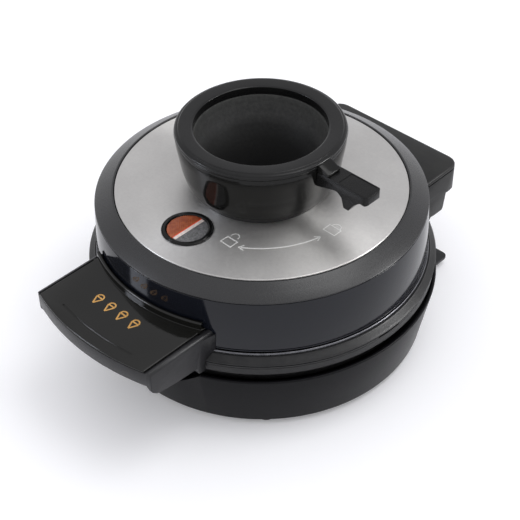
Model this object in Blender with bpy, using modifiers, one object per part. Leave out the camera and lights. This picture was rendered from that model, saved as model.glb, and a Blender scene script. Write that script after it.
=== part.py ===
"""Waffle cone maker: a round electric baker with a hinged lid and a twist-lock forming bowl.

Frame: +Z up, table at Z = 0, handle towards -Y, hinge towards +Y.  The origin lies on the
table under the middle of the whole object, so the axis of the round body is at Y = AXIS_Y.
All sizes below are in millimetres; the helper functions turn them into metres.
"""
from math import acos, asin, cos, degrees, pi, radians, sin

import bmesh
import bpy
from mathutils import Matrix, Vector

MM = 0.001
GAP = 0.3                      # air left between two pieces that touch

# ---- driving dimensions -------------------------------------------------------------------
PLATE_RADIUS = 92.5            # brushed steel plate on the lid
PLATE_TOP = 107.0              # its height above the table
LID_TOP_RADIUS = 105.3         # lid wall where it meets the sloping ring
LID_TOP = 100.0
LID_FOOT_RADIUS = 107.2        # lid wall at its lower edge
LID_FOOT = 63.6
FLANGE_RADIUS = 113.0          # widest part of the upper baking plate
FLANGE_HEIGHT = 57.8
PARTING = 55.0                 # the two baking plates meet here
BASE_RADIUS = 114.4            # rim of the base bucket
BASE_TOP = 44.6
BASE_FOOT_RADIUS = 107.3
BASE_BOTTOM = 4.3
DECK_TOP = 31.0                # floor of the moat inside the base
HANDLE_HALF_WIDTH = 51.0
HANDLE_WALL = 2.8              # thickness of its side walls
HANDLE_REACH = 150.8           # from the body axis to the middle of the handle's front
HANDLE_ARC = 160.0             # radius of that front edge
HANDLE_TOP = 78.3
LIP_TOP = 83.2                  # raised rear edge of the handle's plate, against the lid wall
LIP_RADIUS = 109.2
HINGE_HALF_WIDTH = 55.0
HINGE_REACH = 138.2            # from the body axis to the back of the hinge cover
HINGE_COVER_TOP = 76.6
HINGE_Y = 118.0                # hinge axis, behind the body axis
HINGE_Z = 50.0
PIN_RADIUS = 2.5
BOWL_TOP = 151.2
LEVER_TIP = 89.8               # lever's end, from the body axis

AXIS_Y = (HANDLE_REACH - HINGE_REACH) / 2
BODY_STEPS = 48
BOWL_STEPS = 32
INNER_STEPS = 24
SMALL_STEPS = 12

# ---- scene set-up -------------------------------------------------------------------------
for old in list(bpy.data.objects):
    bpy.data.objects.remove(old, do_unlink=True)

parts = bpy.data.collections.new("waffle_cone_maker")
cutters = bpy.data.collections.new("cutters")
for collection in (parts, cutters):
    bpy.context.scene.collection.children.link(collection)


def material(name, colour, roughness, metallic=0.0, alpha=1.0):
    mat = bpy.data.materials.new(name)
    mat.use_nodes = True
    shader = mat.node_tree.nodes["Principled BSDF"]
    shader.inputs["Base Color"].default_value = (*colour, 1.0)
    shader.inputs["Roughness"].default_value = roughness
    shader.inputs["Metallic"].default_value = metallic
    shader.inputs["Alpha"].default_value = alpha
    mat.diffuse_color = (*colour, 1.0)
    return mat


SATIN_BLACK = material("satin_black_plastic", (0.022, 0.022, 0.023), 0.38)
GLOSS_BLACK = material("gloss_black_plastic", (0.014, 0.014, 0.016), 0.16)
GRAINED_BLACK = material("grained_black_plastic", (0.035, 0.035, 0.036), 0.55)
NON_STICK = material("non_stick_coating", (0.045, 0.044, 0.043), 0.5, 0.3)
BRUSHED_STEEL = material("brushed_steel", (0.62, 0.61, 0.59), 0.32, 1.0)
PLAIN_STEEL = material("plain_steel", (0.55, 0.55, 0.56), 0.35, 1.0)
ALUMINIUM = material("aluminium_sheet", (0.75, 0.75, 0.76), 0.4, 1.0)
HEATER_STEEL = material("heater_sheath", (0.22, 0.2, 0.18), 0.5, 1.0)
RUBBER = material("rubber", (0.03, 0.03, 0.03), 0.8)
CERAMIC = material("white_ceramic", (0.8, 0.78, 0.72), 0.5)
ORANGE_LENS = material("orange_lens", (0.75, 0.16, 0.04), 0.2)
CLEAR_LENS = material("clear_lens", (0.7, 0.72, 0.74), 0.12, 0.0, 0.5)
NEON_GLASS = material("neon_glass", (0.9, 0.55, 0.35), 0.1, 0.0, 0.6)


def pivot(name, x, y, z):
    """An empty on a joint's axis; the pieces that move with it are its children."""
    empty = bpy.data.objects.new(name, None)
    empty.location = (x * MM, (y + AXIS_Y) * MM, z * MM)
    parts.objects.link(empty)
    bpy.context.view_layer.update()
    return empty


BASE = pivot("base_frame", 0, 0, 0)
LID = pivot("lid_hinge_axis", 0, HINGE_Y, HINGE_Z)
BOWL = pivot("bowl_twist_axis", 0, 0, PLATE_TOP)


# ---- modelling helpers --------------------------------------------------------------------
def place(obj, owner, mat):
    """Link a piece; owner None makes it a cutter that the build leaves out."""
    if owner is None:
        cutters.objects.link(obj)
        obj.hide_render = True
        obj.display_type = "WIRE"
        return obj
    parts.objects.link(obj)
    obj.parent = owner
    obj.matrix_parent_inverse = owner.matrix_world.inverted()
    obj.data.materials.append(mat)
    obj.data.shade_smooth()
    obj.data.set_sharp_from_angle(angle=radians(35))
    return obj


def at_body_axis(obj, x=0.0, y=0.0, z=0.0):
    obj.location = (x * MM, (y + AXIS_Y) * MM, z * MM)
    return obj


def turned(name, profile, owner=None, mat=None, steps=BODY_STEPS, at=(0.0, 0.0), start=0.0):
    """Turn a profile of (radius, height) points about a vertical axis at (x, y) = at.

    A profile that never reaches radius 0 is closed into a ring; the others end on the axis.
    """
    points = list(profile)
    ring = min(r for r, _ in points) > 0
    area = 0.0
    for (r0, z0), (r1, z1) in zip(points, points[1:] + points[:1]):
        area += r0 * z1 - r1 * z0
    if area > 0:
        points.reverse()
    on_axis = [i for i, (r, _) in enumerate(points) if r == 0]
    if on_axis and on_axis[-1] != len(points) - 1:
        points = points[on_axis[-1]:] + points[:on_axis[-1]]
    mesh = bpy.data.meshes.new(name)
    verts = [(r * MM * cos(start), r * MM * sin(start), z * MM) for r, z in points]
    edges = [(i, i + 1) for i in range(len(points) - 1)]
    if ring:
        edges.append((len(points) - 1, 0))
    mesh.from_pydata(verts, edges, [])
    obj = bpy.data.objects.new(name, mesh)
    at_body_axis(obj, *at)
    place(obj, owner, mat)
    screw = obj.modifiers.new("turn", "SCREW")
    screw.axis = "Z"
    screw.steps = steps
    screw.render_steps = steps
    screw.use_merge_vertices = True
    screw.merge_threshold = 0.00001
    screw.use_smooth_shade = True
    return obj


def box(name, low, high, owner=None, mat=None, bevel=0.0):
    size = [(h - l) * MM for l, h in zip(low, high)]
    middle = [(h + l) / 2 for l, h in zip(low, high)]
    mesh = bpy.data.meshes.new(name)
    shape = bmesh.new()
    bmesh.ops.create_cube(shape, size=1.0)
    bmesh.ops.scale(shape, vec=size, verts=shape.verts)
    shape.to_mesh(mesh)
    shape.free()
    obj = bpy.data.objects.new(name, mesh)
    at_body_axis(obj, *middle)
    place(obj, owner, mat)
    if bevel:
        edge = obj.modifiers.new("edges", "BEVEL")
        edge.width = bevel * MM
        edge.segments = 1
    return obj


def rod(name, radius, low, high, owner=None, mat=None, steps=SMALL_STEPS):
    """A straight round bar between two points."""
    a = Vector(low)
    b = Vector(high)
    mesh = bpy.data.meshes.new(name)
    shape = bmesh.new()
    bmesh.ops.create_cone(shape, cap_ends=True, segments=steps, radius1=radius * MM,
                          radius2=radius * MM, depth=(b - a).length * MM)
    turn = Vector((0, 0, 1)).rotation_difference(b - a)
    bmesh.ops.transform(shape, matrix=turn.to_matrix().to_4x4(), verts=shape.verts)
    shape.to_mesh(mesh)
    shape.free()
    obj = bpy.data.objects.new(name, mesh)
    at_body_axis(obj, *((a + b) / 2))
    return place(obj, owner, mat)


def solid_from_curve(curve, name, matrix, location, owner, mat):
    """Make a filled curve a closed mesh that Booleans can read."""
    holder = bpy.data.objects.new(name + "_curve", curve)
    bpy.context.scene.collection.objects.link(holder)
    bpy.context.view_layer.update()
    depsgraph = bpy.context.evaluated_depsgraph_get()
    mesh = bpy.data.meshes.new_from_object(holder.evaluated_get(depsgraph))
    bpy.data.objects.remove(holder, do_unlink=True)
    shape = bmesh.new()
    shape.from_mesh(mesh)
    bmesh.ops.remove_doubles(shape, verts=shape.verts, dist=0.00001)
    bmesh.ops.transform(shape, matrix=matrix, verts=shape.verts)
    bmesh.ops.recalc_face_normals(shape, faces=shape.faces)
    shape.to_mesh(mesh)
    shape.free()
    mesh.name = name
    mesh.materials.clear()
    obj = bpy.data.objects.new(name, mesh)
    at_body_axis(obj, *location)
    return place(obj, owner, mat)


def slab(name, outline, low, high, owner=None, mat=None, normal="Z"):
    """A flat outline given a thickness.

    normal Z: points are (x, y) and the slab spans low..high in z;
    normal X: points are (y, z) and it spans x;  normal Y: points are (x, z) and it spans y.
    """
    curve = bpy.data.curves.new(name, "CURVE")
    curve.dimensions = "2D"
    curve.fill_mode = "BOTH"
    curve.extrude = (high - low) / 2 * MM
    line = curve.splines.new("POLY")
    line.points.add(len(outline) - 1)
    for point, (u, v) in zip(line.points, outline):
        point.co = (u * MM, v * MM, 0.0, 1.0)
    line.use_cyclic_u = True
    middle = (low + high) / 2
    turns = {
        "Z": (Matrix.Identity(4), (0, 0, middle)),
        "X": (Matrix(((0, 0, 1, 0), (1, 0, 0, 0), (0, 1, 0, 0), (0, 0, 0, 1))), (middle, 0, 0)),
        "Y": (Matrix(((1, 0, 0, 0), (0, 0, 1, 0), (0, 1, 0, 0), (0, 0, 0, 1))), (0, middle, 0)),
    }
    matrix, location = turns[normal]
    return solid_from_curve(curve, name, matrix, location, owner, mat)


def tube(name, points, radius, owner, mat):
    """A round wire or tube through a list of points."""
    curve = bpy.data.curves.new(name, "CURVE")
    curve.dimensions = "3D"
    curve.bevel_depth = radius * MM
    curve.bevel_resolution = 2
    curve.use_fill_caps = True
    line = curve.splines.new("POLY")
    line.points.add(len(points) - 1)
    for point, co in zip(line.points, points):
        point.co = (co[0] * MM, co[1] * MM, co[2] * MM, 1.0)
    return solid_from_curve(curve, name, Matrix.Identity(4), (0, 0, 0), owner, mat)


def cut(obj, *tools):
    for tool in tools:
        step = obj.modifiers.new("cut_" + tool.name, "BOOLEAN")
        step.operation = "DIFFERENCE"
        step.object = tool


def join(obj, *tools):
    for tool in tools:
        step = obj.modifiers.new("join_" + tool.name, "BOOLEAN")
        step.operation = "UNION"
        step.object = tool


def arc(radius, start, end, count, centre=(0.0, 0.0)):
    """Points on an arc, angles in degrees counted from +X."""
    points = []
    for i in range(count + 1):
        angle = radians(start + (end - start) * i / count)
        points.append((centre[0] + radius * cos(angle), centre[1] + radius * sin(angle)))
    return points


def sector(inner, outer, middle, width):
    """Outline of a ring sector centred on an angle, both in degrees."""
    low, high = middle - width / 2, middle + width / 2
    return arc(outer, low, high, 4) + arc(inner, high, low, 4)


def around(radius, degrees):
    return radius * cos(radians(degrees)), radius * sin(radians(degrees))


def rounded_corner(x, y, radius, start):
    """A quarter-round corner whose arc centre is at (x, y)."""
    return arc(radius, start, start + 90, 4, (x, y))


def mirrored(points):
    return [(-u, v) for u, v in reversed(points)]


# ---- clearance volumes ---------------------------------------------------------------------
def lid_envelope():
    """The round lid and its baking plate with a small margin: what fits around them is cut by it."""
    return turned("lid_envelope", [
        (0, 120), (LID_TOP_RADIUS + GAP, 120), (LID_TOP_RADIUS + GAP, LID_TOP),
        (LID_FOOT_RADIUS + GAP, LID_FOOT), (109.4, 62.0), (FLANGE_RADIUS + 0.5, 58.4),
        (FLANGE_RADIUS + 0.5, 20), (0, 20)])


def base_envelope():
    """The base bucket and the baking plates above it, with a small margin."""
    return turned("base_envelope", [
        (0, 90), (BASE_RADIUS + GAP, 90), (BASE_RADIUS + GAP, BASE_TOP - 0.8),
        (BASE_FOOT_RADIUS + GAP, BASE_BOTTOM + 0.8), (BASE_FOOT_RADIUS + GAP, 0), (0, 0)])


# ---- base ----------------------------------------------------------------------------------
LUG_INNER = 35.5               # the base's two hinge lugs, distance from the middle
LUG_OUTER = 49.5
DECK_EDGE = 109.2              # outer radius of the deck that carries the lower plate
STAND_HALF_WIDTH = 64.0        # rear tongue that the closed unit stands on when stored upright
STAND_REACH = 122.8
NOTCH_TOP = 48.0               # half-widths of the finger notch under the handle
NOTCH_BOTTOM = 32.0
FOOT_CIRCLE = 98.0
FOOT_RADIUS = 6.5
BOSS_CIRCLE = 84.0
SCREW_RADIUS = 1.6


def stand_outline(half_width, reach):
    """Plan outline of the rear tongue; its front end lies inside the base."""
    half = [(half_width, 60.0)] + rounded_corner(half_width - 4, reach - 4, 4, 0)
    return half + mirrored(half)


def base_shell():
    shell = turned("base_shell", [
        (113.7, BASE_TOP), (BASE_RADIUS, BASE_TOP - 0.8), (BASE_FOOT_RADIUS, BASE_BOTTOM + 0.8),
        (106.6, BASE_BOTTOM), (104.7, BASE_BOTTOM), (108.2, 27.0), (106.0, 27.4),
        (106.0, 28.4), (110.0, 28.8), (112.1, BASE_TOP)], BASE, SATIN_BLACK)
    notch = [(NOTCH_TOP + 0.6, BASE_TOP + 1.0), (NOTCH_BOTTOM, 31.6),
             (-NOTCH_BOTTOM, 31.6), (-NOTCH_TOP - 0.6, BASE_TOP + 1.0)]
    cut(shell, slab("front_notch", notch, -125, -96, normal="Y"))
    cut(shell, rod("gland_hole", 6.8, (0, 95, 18), (0, 125, 18)))
    cut(shell, slab("stand_slot", stand_outline(STAND_HALF_WIDTH + GAP, 140), 3.0, 7.4))


def base_deck():
    deck = turned("base_deck", [
        (72.0, DECK_TOP), (DECK_EDGE, DECK_TOP), (DECK_EDGE, 28.8), (72.0, 28.8)], BASE, SATIN_BLACK)
    for i in range(4):
        x, y = around(BOSS_CIRCLE, 45 + 90 * i)
        join(deck, rod(f"boss_{i}", 5.0, (x, y, 7.4), (x, y, 30.0)))
        cut(deck, rod(f"boss_hole_{i}", SCREW_RADIUS + GAP, (x, y, 5.0), (x, y, 24.0)))
    turned("heat_shield", [
        (101.0, DECK_TOP + GAP), (101.0, 46.8), (102.6, 46.8), (103.0, DECK_TOP + GAP)],
        BASE, SATIN_BLACK)


def hinge_brackets():
    lug = arc(6.5, 0, 180, 8, (HINGE_Y, HINGE_Z)) + [
        (HINGE_Y - 6.5, 44.5), (98.0, 44.0), (98.0, 30.5), (113.5, 30.5),
        (HINGE_Y + 2.0, 38.0), (HINGE_Y + 6.5, 44.0)]
    keep_out = base_envelope()
    bore = rod("pin_bore_base", PIN_RADIUS + GAP, (-60, HINGE_Y, HINGE_Z),
               (60, HINGE_Y, HINGE_Z))
    for name, low in (("hinge_bracket_left", -LUG_OUTER), ("hinge_bracket_right", LUG_INNER)):
        bracket = slab(name, lug, low, low + LUG_OUTER - LUG_INNER, BASE, SATIN_BLACK, "X")
        cut(bracket, keep_out, bore)


def bottom_cover():
    cover = turned("bottom_cover", [(0, 7.0), (104.3, 7.0), (104.3, 4.7), (0, 4.7)],
                   BASE, GRAINED_BLACK)
    join(cover, slab("stand_tongue", stand_outline(STAND_HALF_WIDTH, STAND_REACH), 4.7, 7.0))
    for i in range(4):
        x, y = around(BOSS_CIRCLE, 45 + 90 * i)
        cut(cover, rod(f"cover_hole_{i}", SCREW_RADIUS + GAP, (x, y, 3), (x, y, 9)))
        turned(f"cover_screw_{i + 1}", [
            (0, 21.0), (SCREW_RADIUS, 21.0), (SCREW_RADIUS, 4.4), (3.4, 4.4), (3.4, 2.4),
            (0, 2.4)], BASE, PLAIN_STEEL, SMALL_STEPS, (x, y))


def feet():
    names = ("foot_rear_right", "foot_rear_left", "foot_front_left", "foot_front_right")
    for i, name in enumerate(names):
        x, y = around(FOOT_CIRCLE, 45 + 90 * i)
        turned(name, [(0, 4.4), (FOOT_RADIUS, 4.4), (FOOT_RADIUS, 1.2), (FOOT_RADIUS - 1, 0),
                      (0, 0)], BASE, RUBBER, SMALL_STEPS, (x, y))


def lower_plate():
    turned("lower_baking_plate", [
        (0, 53.6), (105.4, 53.6), (107.6, PARTING - 0.2), (111.6, PARTING - 0.2),
        (112.2, 54.2), (112.0, 49.8), (109.9, 48.6), (107.2, 40.8), (105.2, 40.8),
        (109.0, 50.4), (106.0, 49.0), (0, 49.0)],
        BASE, NON_STICK)
    for i in range(3):
        x, y = around(96.5, 30 + 120 * i)
        rod(f"lower_plate_post_{i + 1}", 3.5, (x, y, DECK_TOP + GAP), (x, y, 49.0 - GAP),
            BASE, PLAIN_STEEL, 12)


def heater_path(radius, height, tail):
    """Nearly a full turn of tubular heater, its two ends bent to the terminals."""
    loop = [(x, y, height) for x, y in arc(radius, 100, 440, 30)]
    first = [(loop[0][0] - 2, loop[0][1] + 6, height), (loop[0][0] - 2, loop[0][1] + 9, tail)]
    last = [(loop[-1][0] + 2, loop[-1][1] + 6, height), (loop[-1][0] + 2, loop[-1][1] + 9, tail)]
    return first[::-1] + loop + last


def lower_heater():
    tube("lower_heating_element", heater_path(68.0, 45.2, 39.0), 3.2, BASE, HEATER_STEEL)
    turned("lower_reflector", [
        (40.0, 34.8), (86.0, 34.8), (92.0, 46.0), (92.8, 45.4), (86.6, 34.0), (40.0, 34.0)],
        BASE, ALUMINIUM, INNER_STEPS)
    turned("thermostat", [(0, 48.7), (12.0, 48.7), (12.0, 41.0), (8.0, 38.0), (0, 38.0)],
           BASE, CERAMIC, SMALL_STEPS, (-22, 0))
    rod("thermal_fuse", 2.2, (24, -12, 46.2), (24, 12, 46.2), BASE, PLAIN_STEEL, 10)


def base_wiring():
    box("terminal_block", (-14, 62, 10), (14, 78, 22), BASE, CERAMIC, 1.0)
    gland = turned("cord_gland", [
        (6.2, 0), (6.2, 6.8), (8.6, 6.8), (8.6, 9.0), (6.4, 16.0), (3.6, 16.0), (3.6, 0)],
        BASE, RUBBER, SMALL_STEPS)
    gland.rotation_euler = (-pi / 2, 0, 0)
    at_body_axis(gland, 0, 104.8, 18)
    for name, x in (("supply_lead_live", -6), ("supply_lead_neutral", 6)):
        tube(name, [(x, 78.5, 16), (x, 84, 16), (x * 0.6, 92, 17), (x * 0.35, 100, 18),
                    (x * 0.25, 104, 18)], 1.2, BASE, RUBBER)


def hinge_pin():
    rod("hinge_pin", PIN_RADIUS, (-53.4, HINGE_Y, HINGE_Z), (51.8, HINGE_Y, HINGE_Z),
        BASE, PLAIN_STEEL)


# ---- lid -----------------------------------------------------------------------------------
INDICATOR_Y = -64.0            # centre of the indicator lamp
BEZEL_RADIUS = 16.2
LENS_RADIUS = 12.4
DIVIDER_X = 1.2                # the bar between the orange and the clear half
COLLAR_BORE = 36.8             # hole in lid and steel plate for the bayonet ring


def lid_shell():
    shell = turned("lid_shell", [
        (COLLAR_BORE, 105.9), (91.6, 105.9), (92.4, 105.0), (103.2, 98.5), (104.3, 98.5),
        (104.3, LID_TOP), (LID_TOP_RADIUS, LID_TOP), (LID_FOOT_RADIUS, LID_FOOT + 0.8),
        (106.8, LID_FOOT), (104.9, LID_FOOT), (102.6, 96.0), (90.8, 102.9), (90.0, 103.4),
        (COLLAR_BORE, 103.4)], LID, GLOSS_BLACK)
    lamp_hole = rod("lamp_hole", LENS_RADIUS + 1.1, (0, INDICATOR_Y, 95),
                    (0, INDICATOR_Y, 115), steps=24)
    cut(shell, lamp_hole)
    for side in (-1, 1):
        cut(shell, rod(f"handle_screw_hole_{side}", 2.3, (side * 24, -85, 71),
                       (side * 24, -125, 71)))
        cut(shell, rod(f"hinge_screw_hole_{side}", 2.3, (side * 14, 85, 70),
                       (side * 14, 125, 70)))


def lid_top():
    turned("lid_top_ring", [
        (PLATE_RADIUS + 0.5, 107.0), (93.6, 107.2), (103.8, 101.0), (104.0, 100.4),
        (104.0, 98.9), (103.2, 98.9), (93.0, 105.0)], LID, SATIN_BLACK)
    plate = turned("steel_top_plate", [
        (COLLAR_BORE, PLATE_TOP), (91.9, PLATE_TOP), (PLATE_RADIUS, 106.6),
        (PLATE_RADIUS, 106.2), (COLLAR_BORE, 106.2)], LID, BRUSHED_STEEL)
    cut(plate, rod("bezel_hole", LENS_RADIUS + 1.1, (0, INDICATOR_Y, 100),
                   (0, INDICATOR_Y, 115), steps=24))


def indicator():
    at = (0, INDICATOR_Y)
    sleeve = LENS_RADIUS + 0.8
    turned("indicator_bezel", [
        (BEZEL_RADIUS - 0.8, 108.1), (BEZEL_RADIUS, 107.3), (sleeve, 107.3), (sleeve, 99.0),
        (sleeve - 0.5, 99.0), (sleeve - 0.5, 107.8), (sleeve - 0.1, 108.1)],
        LID, GLOSS_BLACK, 24, at)
    left_edge = DIVIDER_X - 0.6
    right_edge = DIVIDER_X + 0.6
    left_reach = degrees(acos(left_edge / LENS_RADIUS))
    right_reach = degrees(acos(right_edge / LENS_RADIUS))
    slab("indicator_lens_orange", arc(LENS_RADIUS, left_reach, 360 - left_reach, 12, at),
         104.5, 107.5, LID, ORANGE_LENS)
    slab("indicator_lens_clear", arc(LENS_RADIUS, -right_reach, right_reach, 10, at),
         104.5, 107.5, LID, CLEAR_LENS)
    for name, x in (("neon_lamp_heating", -4.6), ("neon_lamp_ready", 5.0)):
        rod(name, 2.2, (x, INDICATOR_Y - 6, 101.6), (x, INDICATOR_Y + 6, 101.6), LID,
            NEON_GLASS, 10)
    box("lamp_holder", (-8.4, INDICATOR_Y - 5, 94.0), (8.8, INDICATOR_Y + 5, 99.0), LID,
        CERAMIC, 0.6)


def upper_plate():
    plate = turned("upper_baking_plate", [
        (0, 61.4), (98.6, 61.4), (99.6, 66.0), (103.6, 66.0), (104.0, 61.5), (106.7, 61.4),
        (106.8, 62.9), (107.9, 62.9), (108.1, 61.3), (108.6, 61.2),
        (FLANGE_RADIUS, FLANGE_HEIGHT), (112.4, PARTING + 0.2), (107.6, PARTING + 0.2),
        (105.4, 56.4), (0, 56.4)], LID, NON_STICK)
    cut(plate, box("pry_slot", (108.5, -15, 50), (118, 2.5, 57.0)))
    tube("upper_heating_element", heater_path(68.0, 65.2, 71.0), 3.2, LID, HEATER_STEEL)
    turned("upper_reflector", [
        (30.0, 76.4), (88.0, 76.4), (95.6, 64.4), (94.8, 64.0), (87.6, 75.6), (30.0, 75.6)],
        LID, ALUMINIUM, INNER_STEPS)
    for i in range(3):
        x, y = around(99.0, 90 + 120 * i)
        rod(f"upper_plate_post_{i + 1}", 2.6, (x, y, 66.0 + GAP), (x, y, 95.6), LID,
            PLAIN_STEEL, 12)


def handle_outline(half_width, inset, inner, flare=0.0):
    """Plan outline: parallel sides, a bowed front and a rear end inside the lid's radius."""
    front = HANDLE_ARC - inset
    centre = HANDLE_ARC - HANDLE_REACH
    reach = degrees(asin(half_width / front))
    bow = arc(front, -90 + reach, -90 - reach, 10, (0, centre))
    right = [(half_width + flare, -inner)]
    if flare:
        right += [(half_width + flare * 0.9, -inner - 9), (half_width + flare * 0.35, -inner - 13),
                  (half_width, -inner - 19)]
    return right + bow + mirrored(right)


def handle():
    inside = HANDLE_HALF_WIDTH - HANDLE_WALL
    frame = slab("handle_frame", handle_outline(HANDLE_HALF_WIDTH, 0, 85, 1.8), 50.2, 77.6,
                 LID, GRAINED_BLACK)
    below = [(-160, 30), (-60, 30), (-60, 50.4), (-106.2, 50.4), (-107.4, 55.8),
             (-123.4, 56.8), (-136.0, 58.7), (-139.2, 59.8), (-142.2, 62.6), (-143.6, 66.8),
             (-160, 66.8)]
    cut(frame, slab("handle_underside", below, -60, 60, normal="X"))
    cut(frame, slab("handle_hollow", handle_outline(inside, 3.0, 112), 40, 74.6))
    cut(frame, box("front_skirt", (-inside, -160, 40), (inside, -130, 66.8)))
    cut(frame, slab("plate_seat", handle_outline(inside, -2, 80), 76.7, 90), lid_envelope())
    half = inside - 1.3
    plate = slab("handle_top_plate", handle_outline(half, 0, 80), 77.0, HANDLE_TOP, LID,
                 SATIN_BLACK)
    reach = degrees(asin((half - 0.4) / LIP_RADIUS))
    lip = slab("rear_lip", arc(LIP_RADIUS, -90 - reach, -90 + reach, 20)
               + arc(104.0, -90 + reach, -90 - reach, 20), 77.6, LIP_TOP)
    join(plate, lip)
    cut(plate, lid_envelope())
    for side_name, x in (("left", -24), ("right", 24)):
        cut(frame, rod(f"handle_thread_{side_name}", 2.3, (x, -95, 71), (x, -116, 71)))
        rod(f"handle_screw_{side_name}", 2.0, (x, -96.5, 71), (x, -115.5, 71), LID,
            PLAIN_STEEL, 12)


def hinge_cover():
    half = HINGE_HALF_WIDTH
    wall = 2.6
    outer = [(half, 80.0)] + rounded_corner(half - 9, HINGE_REACH - 9, 9, 0)
    inner = [(half - wall, 70.0)] + rounded_corner(half - 9, HINGE_REACH - 9, 9 - wall, 0)
    cover = slab("hinge_cover", outer + mirrored(outer), 56.6, HINGE_COVER_TOP, LID,
                 GRAINED_BLACK)
    cut(cover, slab("hinge_cover_hollow", inner + mirrored(inner), 40,
                    HINGE_COVER_TOP - wall))
    ear = [(96.0, 60.0), (96.0, 46.0), (113.0, 43.4), (122.5, 43.4), (124.8, 57.5),
           (124.8, 60.0)]
    arm = [(HINGE_Y + 6.5, 75.5), (HINGE_Y - 5.5, 75.5)] + arc(
        6.0, 180, 360, 8, (HINGE_Y, HINGE_Z))
    slope = [(HINGE_REACH - 1.6, HINGE_COVER_TOP + 1), (HINGE_REACH - 1.6, HINGE_COVER_TOP),
             (HINGE_REACH, HINGE_COVER_TOP - 2.4), (HINGE_REACH + 1, HINGE_COVER_TOP - 2.4),
             (HINGE_REACH + 1, HINGE_COVER_TOP + 1)]
    cut(cover, slab("back_edge_slope", slope, -60, 60, normal="X"))
    for side in (-1, 1):
        low, high = sorted((side * (half - wall - 1.0), side * half))
        join(cover, slab(f"hinge_ear_{side}", ear, low, high, normal="X"))
        low, high = sorted((side * 24.0, side * (LUG_INNER - 0.6)))
        join(cover, slab(f"hinge_arm_{side}", arm, low, high, normal="X"))
    rib = box("hinge_mount_wall", (-half + 1, 85, 57.0), (half - 1, 109.6, 75.0))
    join(cover, rib)
    cut(cover, lid_envelope())
    cut(cover, rod("pin_bore_lid", PIN_RADIUS + GAP, (-60, HINGE_Y, HINGE_Z),
                   (52.4, HINGE_Y, HINGE_Z)))
    for side_name, x in (("left", -14), ("right", 14)):
        cut(cover, rod(f"hinge_thread_{side_name}", 2.3, (x, 95, 70), (x, 109.0, 70)))
        rod(f"hinge_screw_{side_name}", 2.0, (x, 96.0, 70), (x, 108.4, 70), LID,
            PLAIN_STEEL, 12)


def bayonet_ring():
    ring = turned("bayonet_ring", [
        (40.8, 110.8), (41.4, 110.2), (41.4, 107.3), (36.3, 107.3), (36.3, 97.0),
        (34.2, 97.0), (34.2, 104.0), (30.6, 104.0), (30.6, 110.8)], LID, SATIN_BLACK,
        BOWL_STEPS)
    for i in range(3):
        cut(ring, slab(f"bayonet_slot_{i}", sector(28.0, 33.9, -60 + 120 * i, 44), 103.5, 112))


# ---- forming bowl --------------------------------------------------------------------------
def bowl():
    turned("bowl_shell", [
        (52.5, 147.2), (52.3, 141.0), (51.4, 135.6), (49.6, 124.0), (47.7, 117.0),
        (45.9, 113.0), (43.9, 111.3), (0, 111.3), (0, 113.6), (43.0, 113.6), (45.5, 118.0),
        (47.3, 124.4), (49.0, 135.8), (49.9, 141.0), (50.1, 147.2)], BOWL, SATIN_BLACK,
        BOWL_STEPS)
    turned("bowl_rim_ring", [
        (51.3, BOWL_TOP), (52.5, 150.6), (52.9, 149.4), (52.9, 147.7), (49.6, 147.7),
        (49.6, 145.2), (41.3, 145.2), (41.3, 150.4), (41.8, 150.8)], BOWL, SATIN_BLACK,
        BOWL_STEPS)
    inner = [(40.9, 144.8), (40.3, 140.2), (38.2, 133.2), (33.2, 125.6), (24.0, 119.2),
             (11.0, 116.2), (0, 115.8)]
    outer = [(0, 114.6), (11.2, 115.0), (24.6, 118.1), (34.2, 124.8), (39.4, 132.7),
             (41.5, 139.9), (42.1, 143.6), (47.0, 143.6), (47.0, 144.8)]
    turned("bowl_liner", inner + outer, BOWL, NON_STICK, BOWL_STEPS)


def bowl_collar():
    collar = turned("bowl_collar", [
        (29.9, 111.0), (29.9, 98.2), (27.2, 98.2), (27.2, 108.0), (9.0, 108.0), (9.0, 111.0)],
        BOWL, SATIN_BLACK, BOWL_STEPS)
    shell = parts.objects["bowl_shell"]
    for i in range(3):
        join(collar, slab(f"bayonet_lug_{i}", sector(28.6, 33.5, 120 * i, 34), 98.6, 103.5))
        x, y = around(19.0, 60 + 120 * i)
        hole = rod(f"bowl_screw_hole_{i}", SCREW_RADIUS + GAP, (x, y, 100), (x, y, 113.9))
        cut(collar, hole)
        cut(shell, hole)
        turned(f"bowl_screw_{i + 1}", [
            (0, 113.0), (SCREW_RADIUS, 113.0), (SCREW_RADIUS, 107.7), (3.2, 107.7),
            (3.2, 105.6), (0, 105.6)], BOWL, PLAIN_STEEL, 12, (x, y))


def lever():
    side = [(50.0, 145.0), (LEVER_TIP - 1.0, 145.0), (LEVER_TIP, 144.0), (LEVER_TIP, 139.6),
            (LEVER_TIP - 2.0, 138.6), (85.4, 138.8), (80.6, 135.6), (76.4, 129.4), (72.6, 129.6),
            (70.8, 136.0), (67.0, 138.6), (50.0, 134.0)]
    arm = slab("lever", side, -7.0, 7.0, BOWL, SATIN_BLACK, "Y")
    envelope = turned("bowl_envelope", [
        (0, 150), (52.9, 150), (52.9, 147.2), (52.6, 141.0), (51.8, 135.6), (50.2, 126.0),
        (0, 126)], steps=BOWL_STEPS)
    cut(arm, envelope)
    clip = [(51.0, 150.4), (53.6, 150.2), (61.0, 147.2), (61.0, 145.3), (51.0, 145.3)]
    bridge = slab("lever_clip", clip, -7.0, 3.4, BOWL, GLOSS_BLACK, "Y")
    cut(bridge, turned("rim_envelope", [(0, 152), (53.3, 152), (53.3, 140), (0, 140)],
                       steps=BOWL_STEPS))


base_shell()
base_deck()
hinge_brackets()
bottom_cover()
feet()
lower_plate()
lower_heater()
base_wiring()
hinge_pin()
lid_shell()
lid_top()
indicator()
upper_plate()
handle()
hinge_cover()
bayonet_ring()
bowl()
bowl_collar()
lever()
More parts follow.
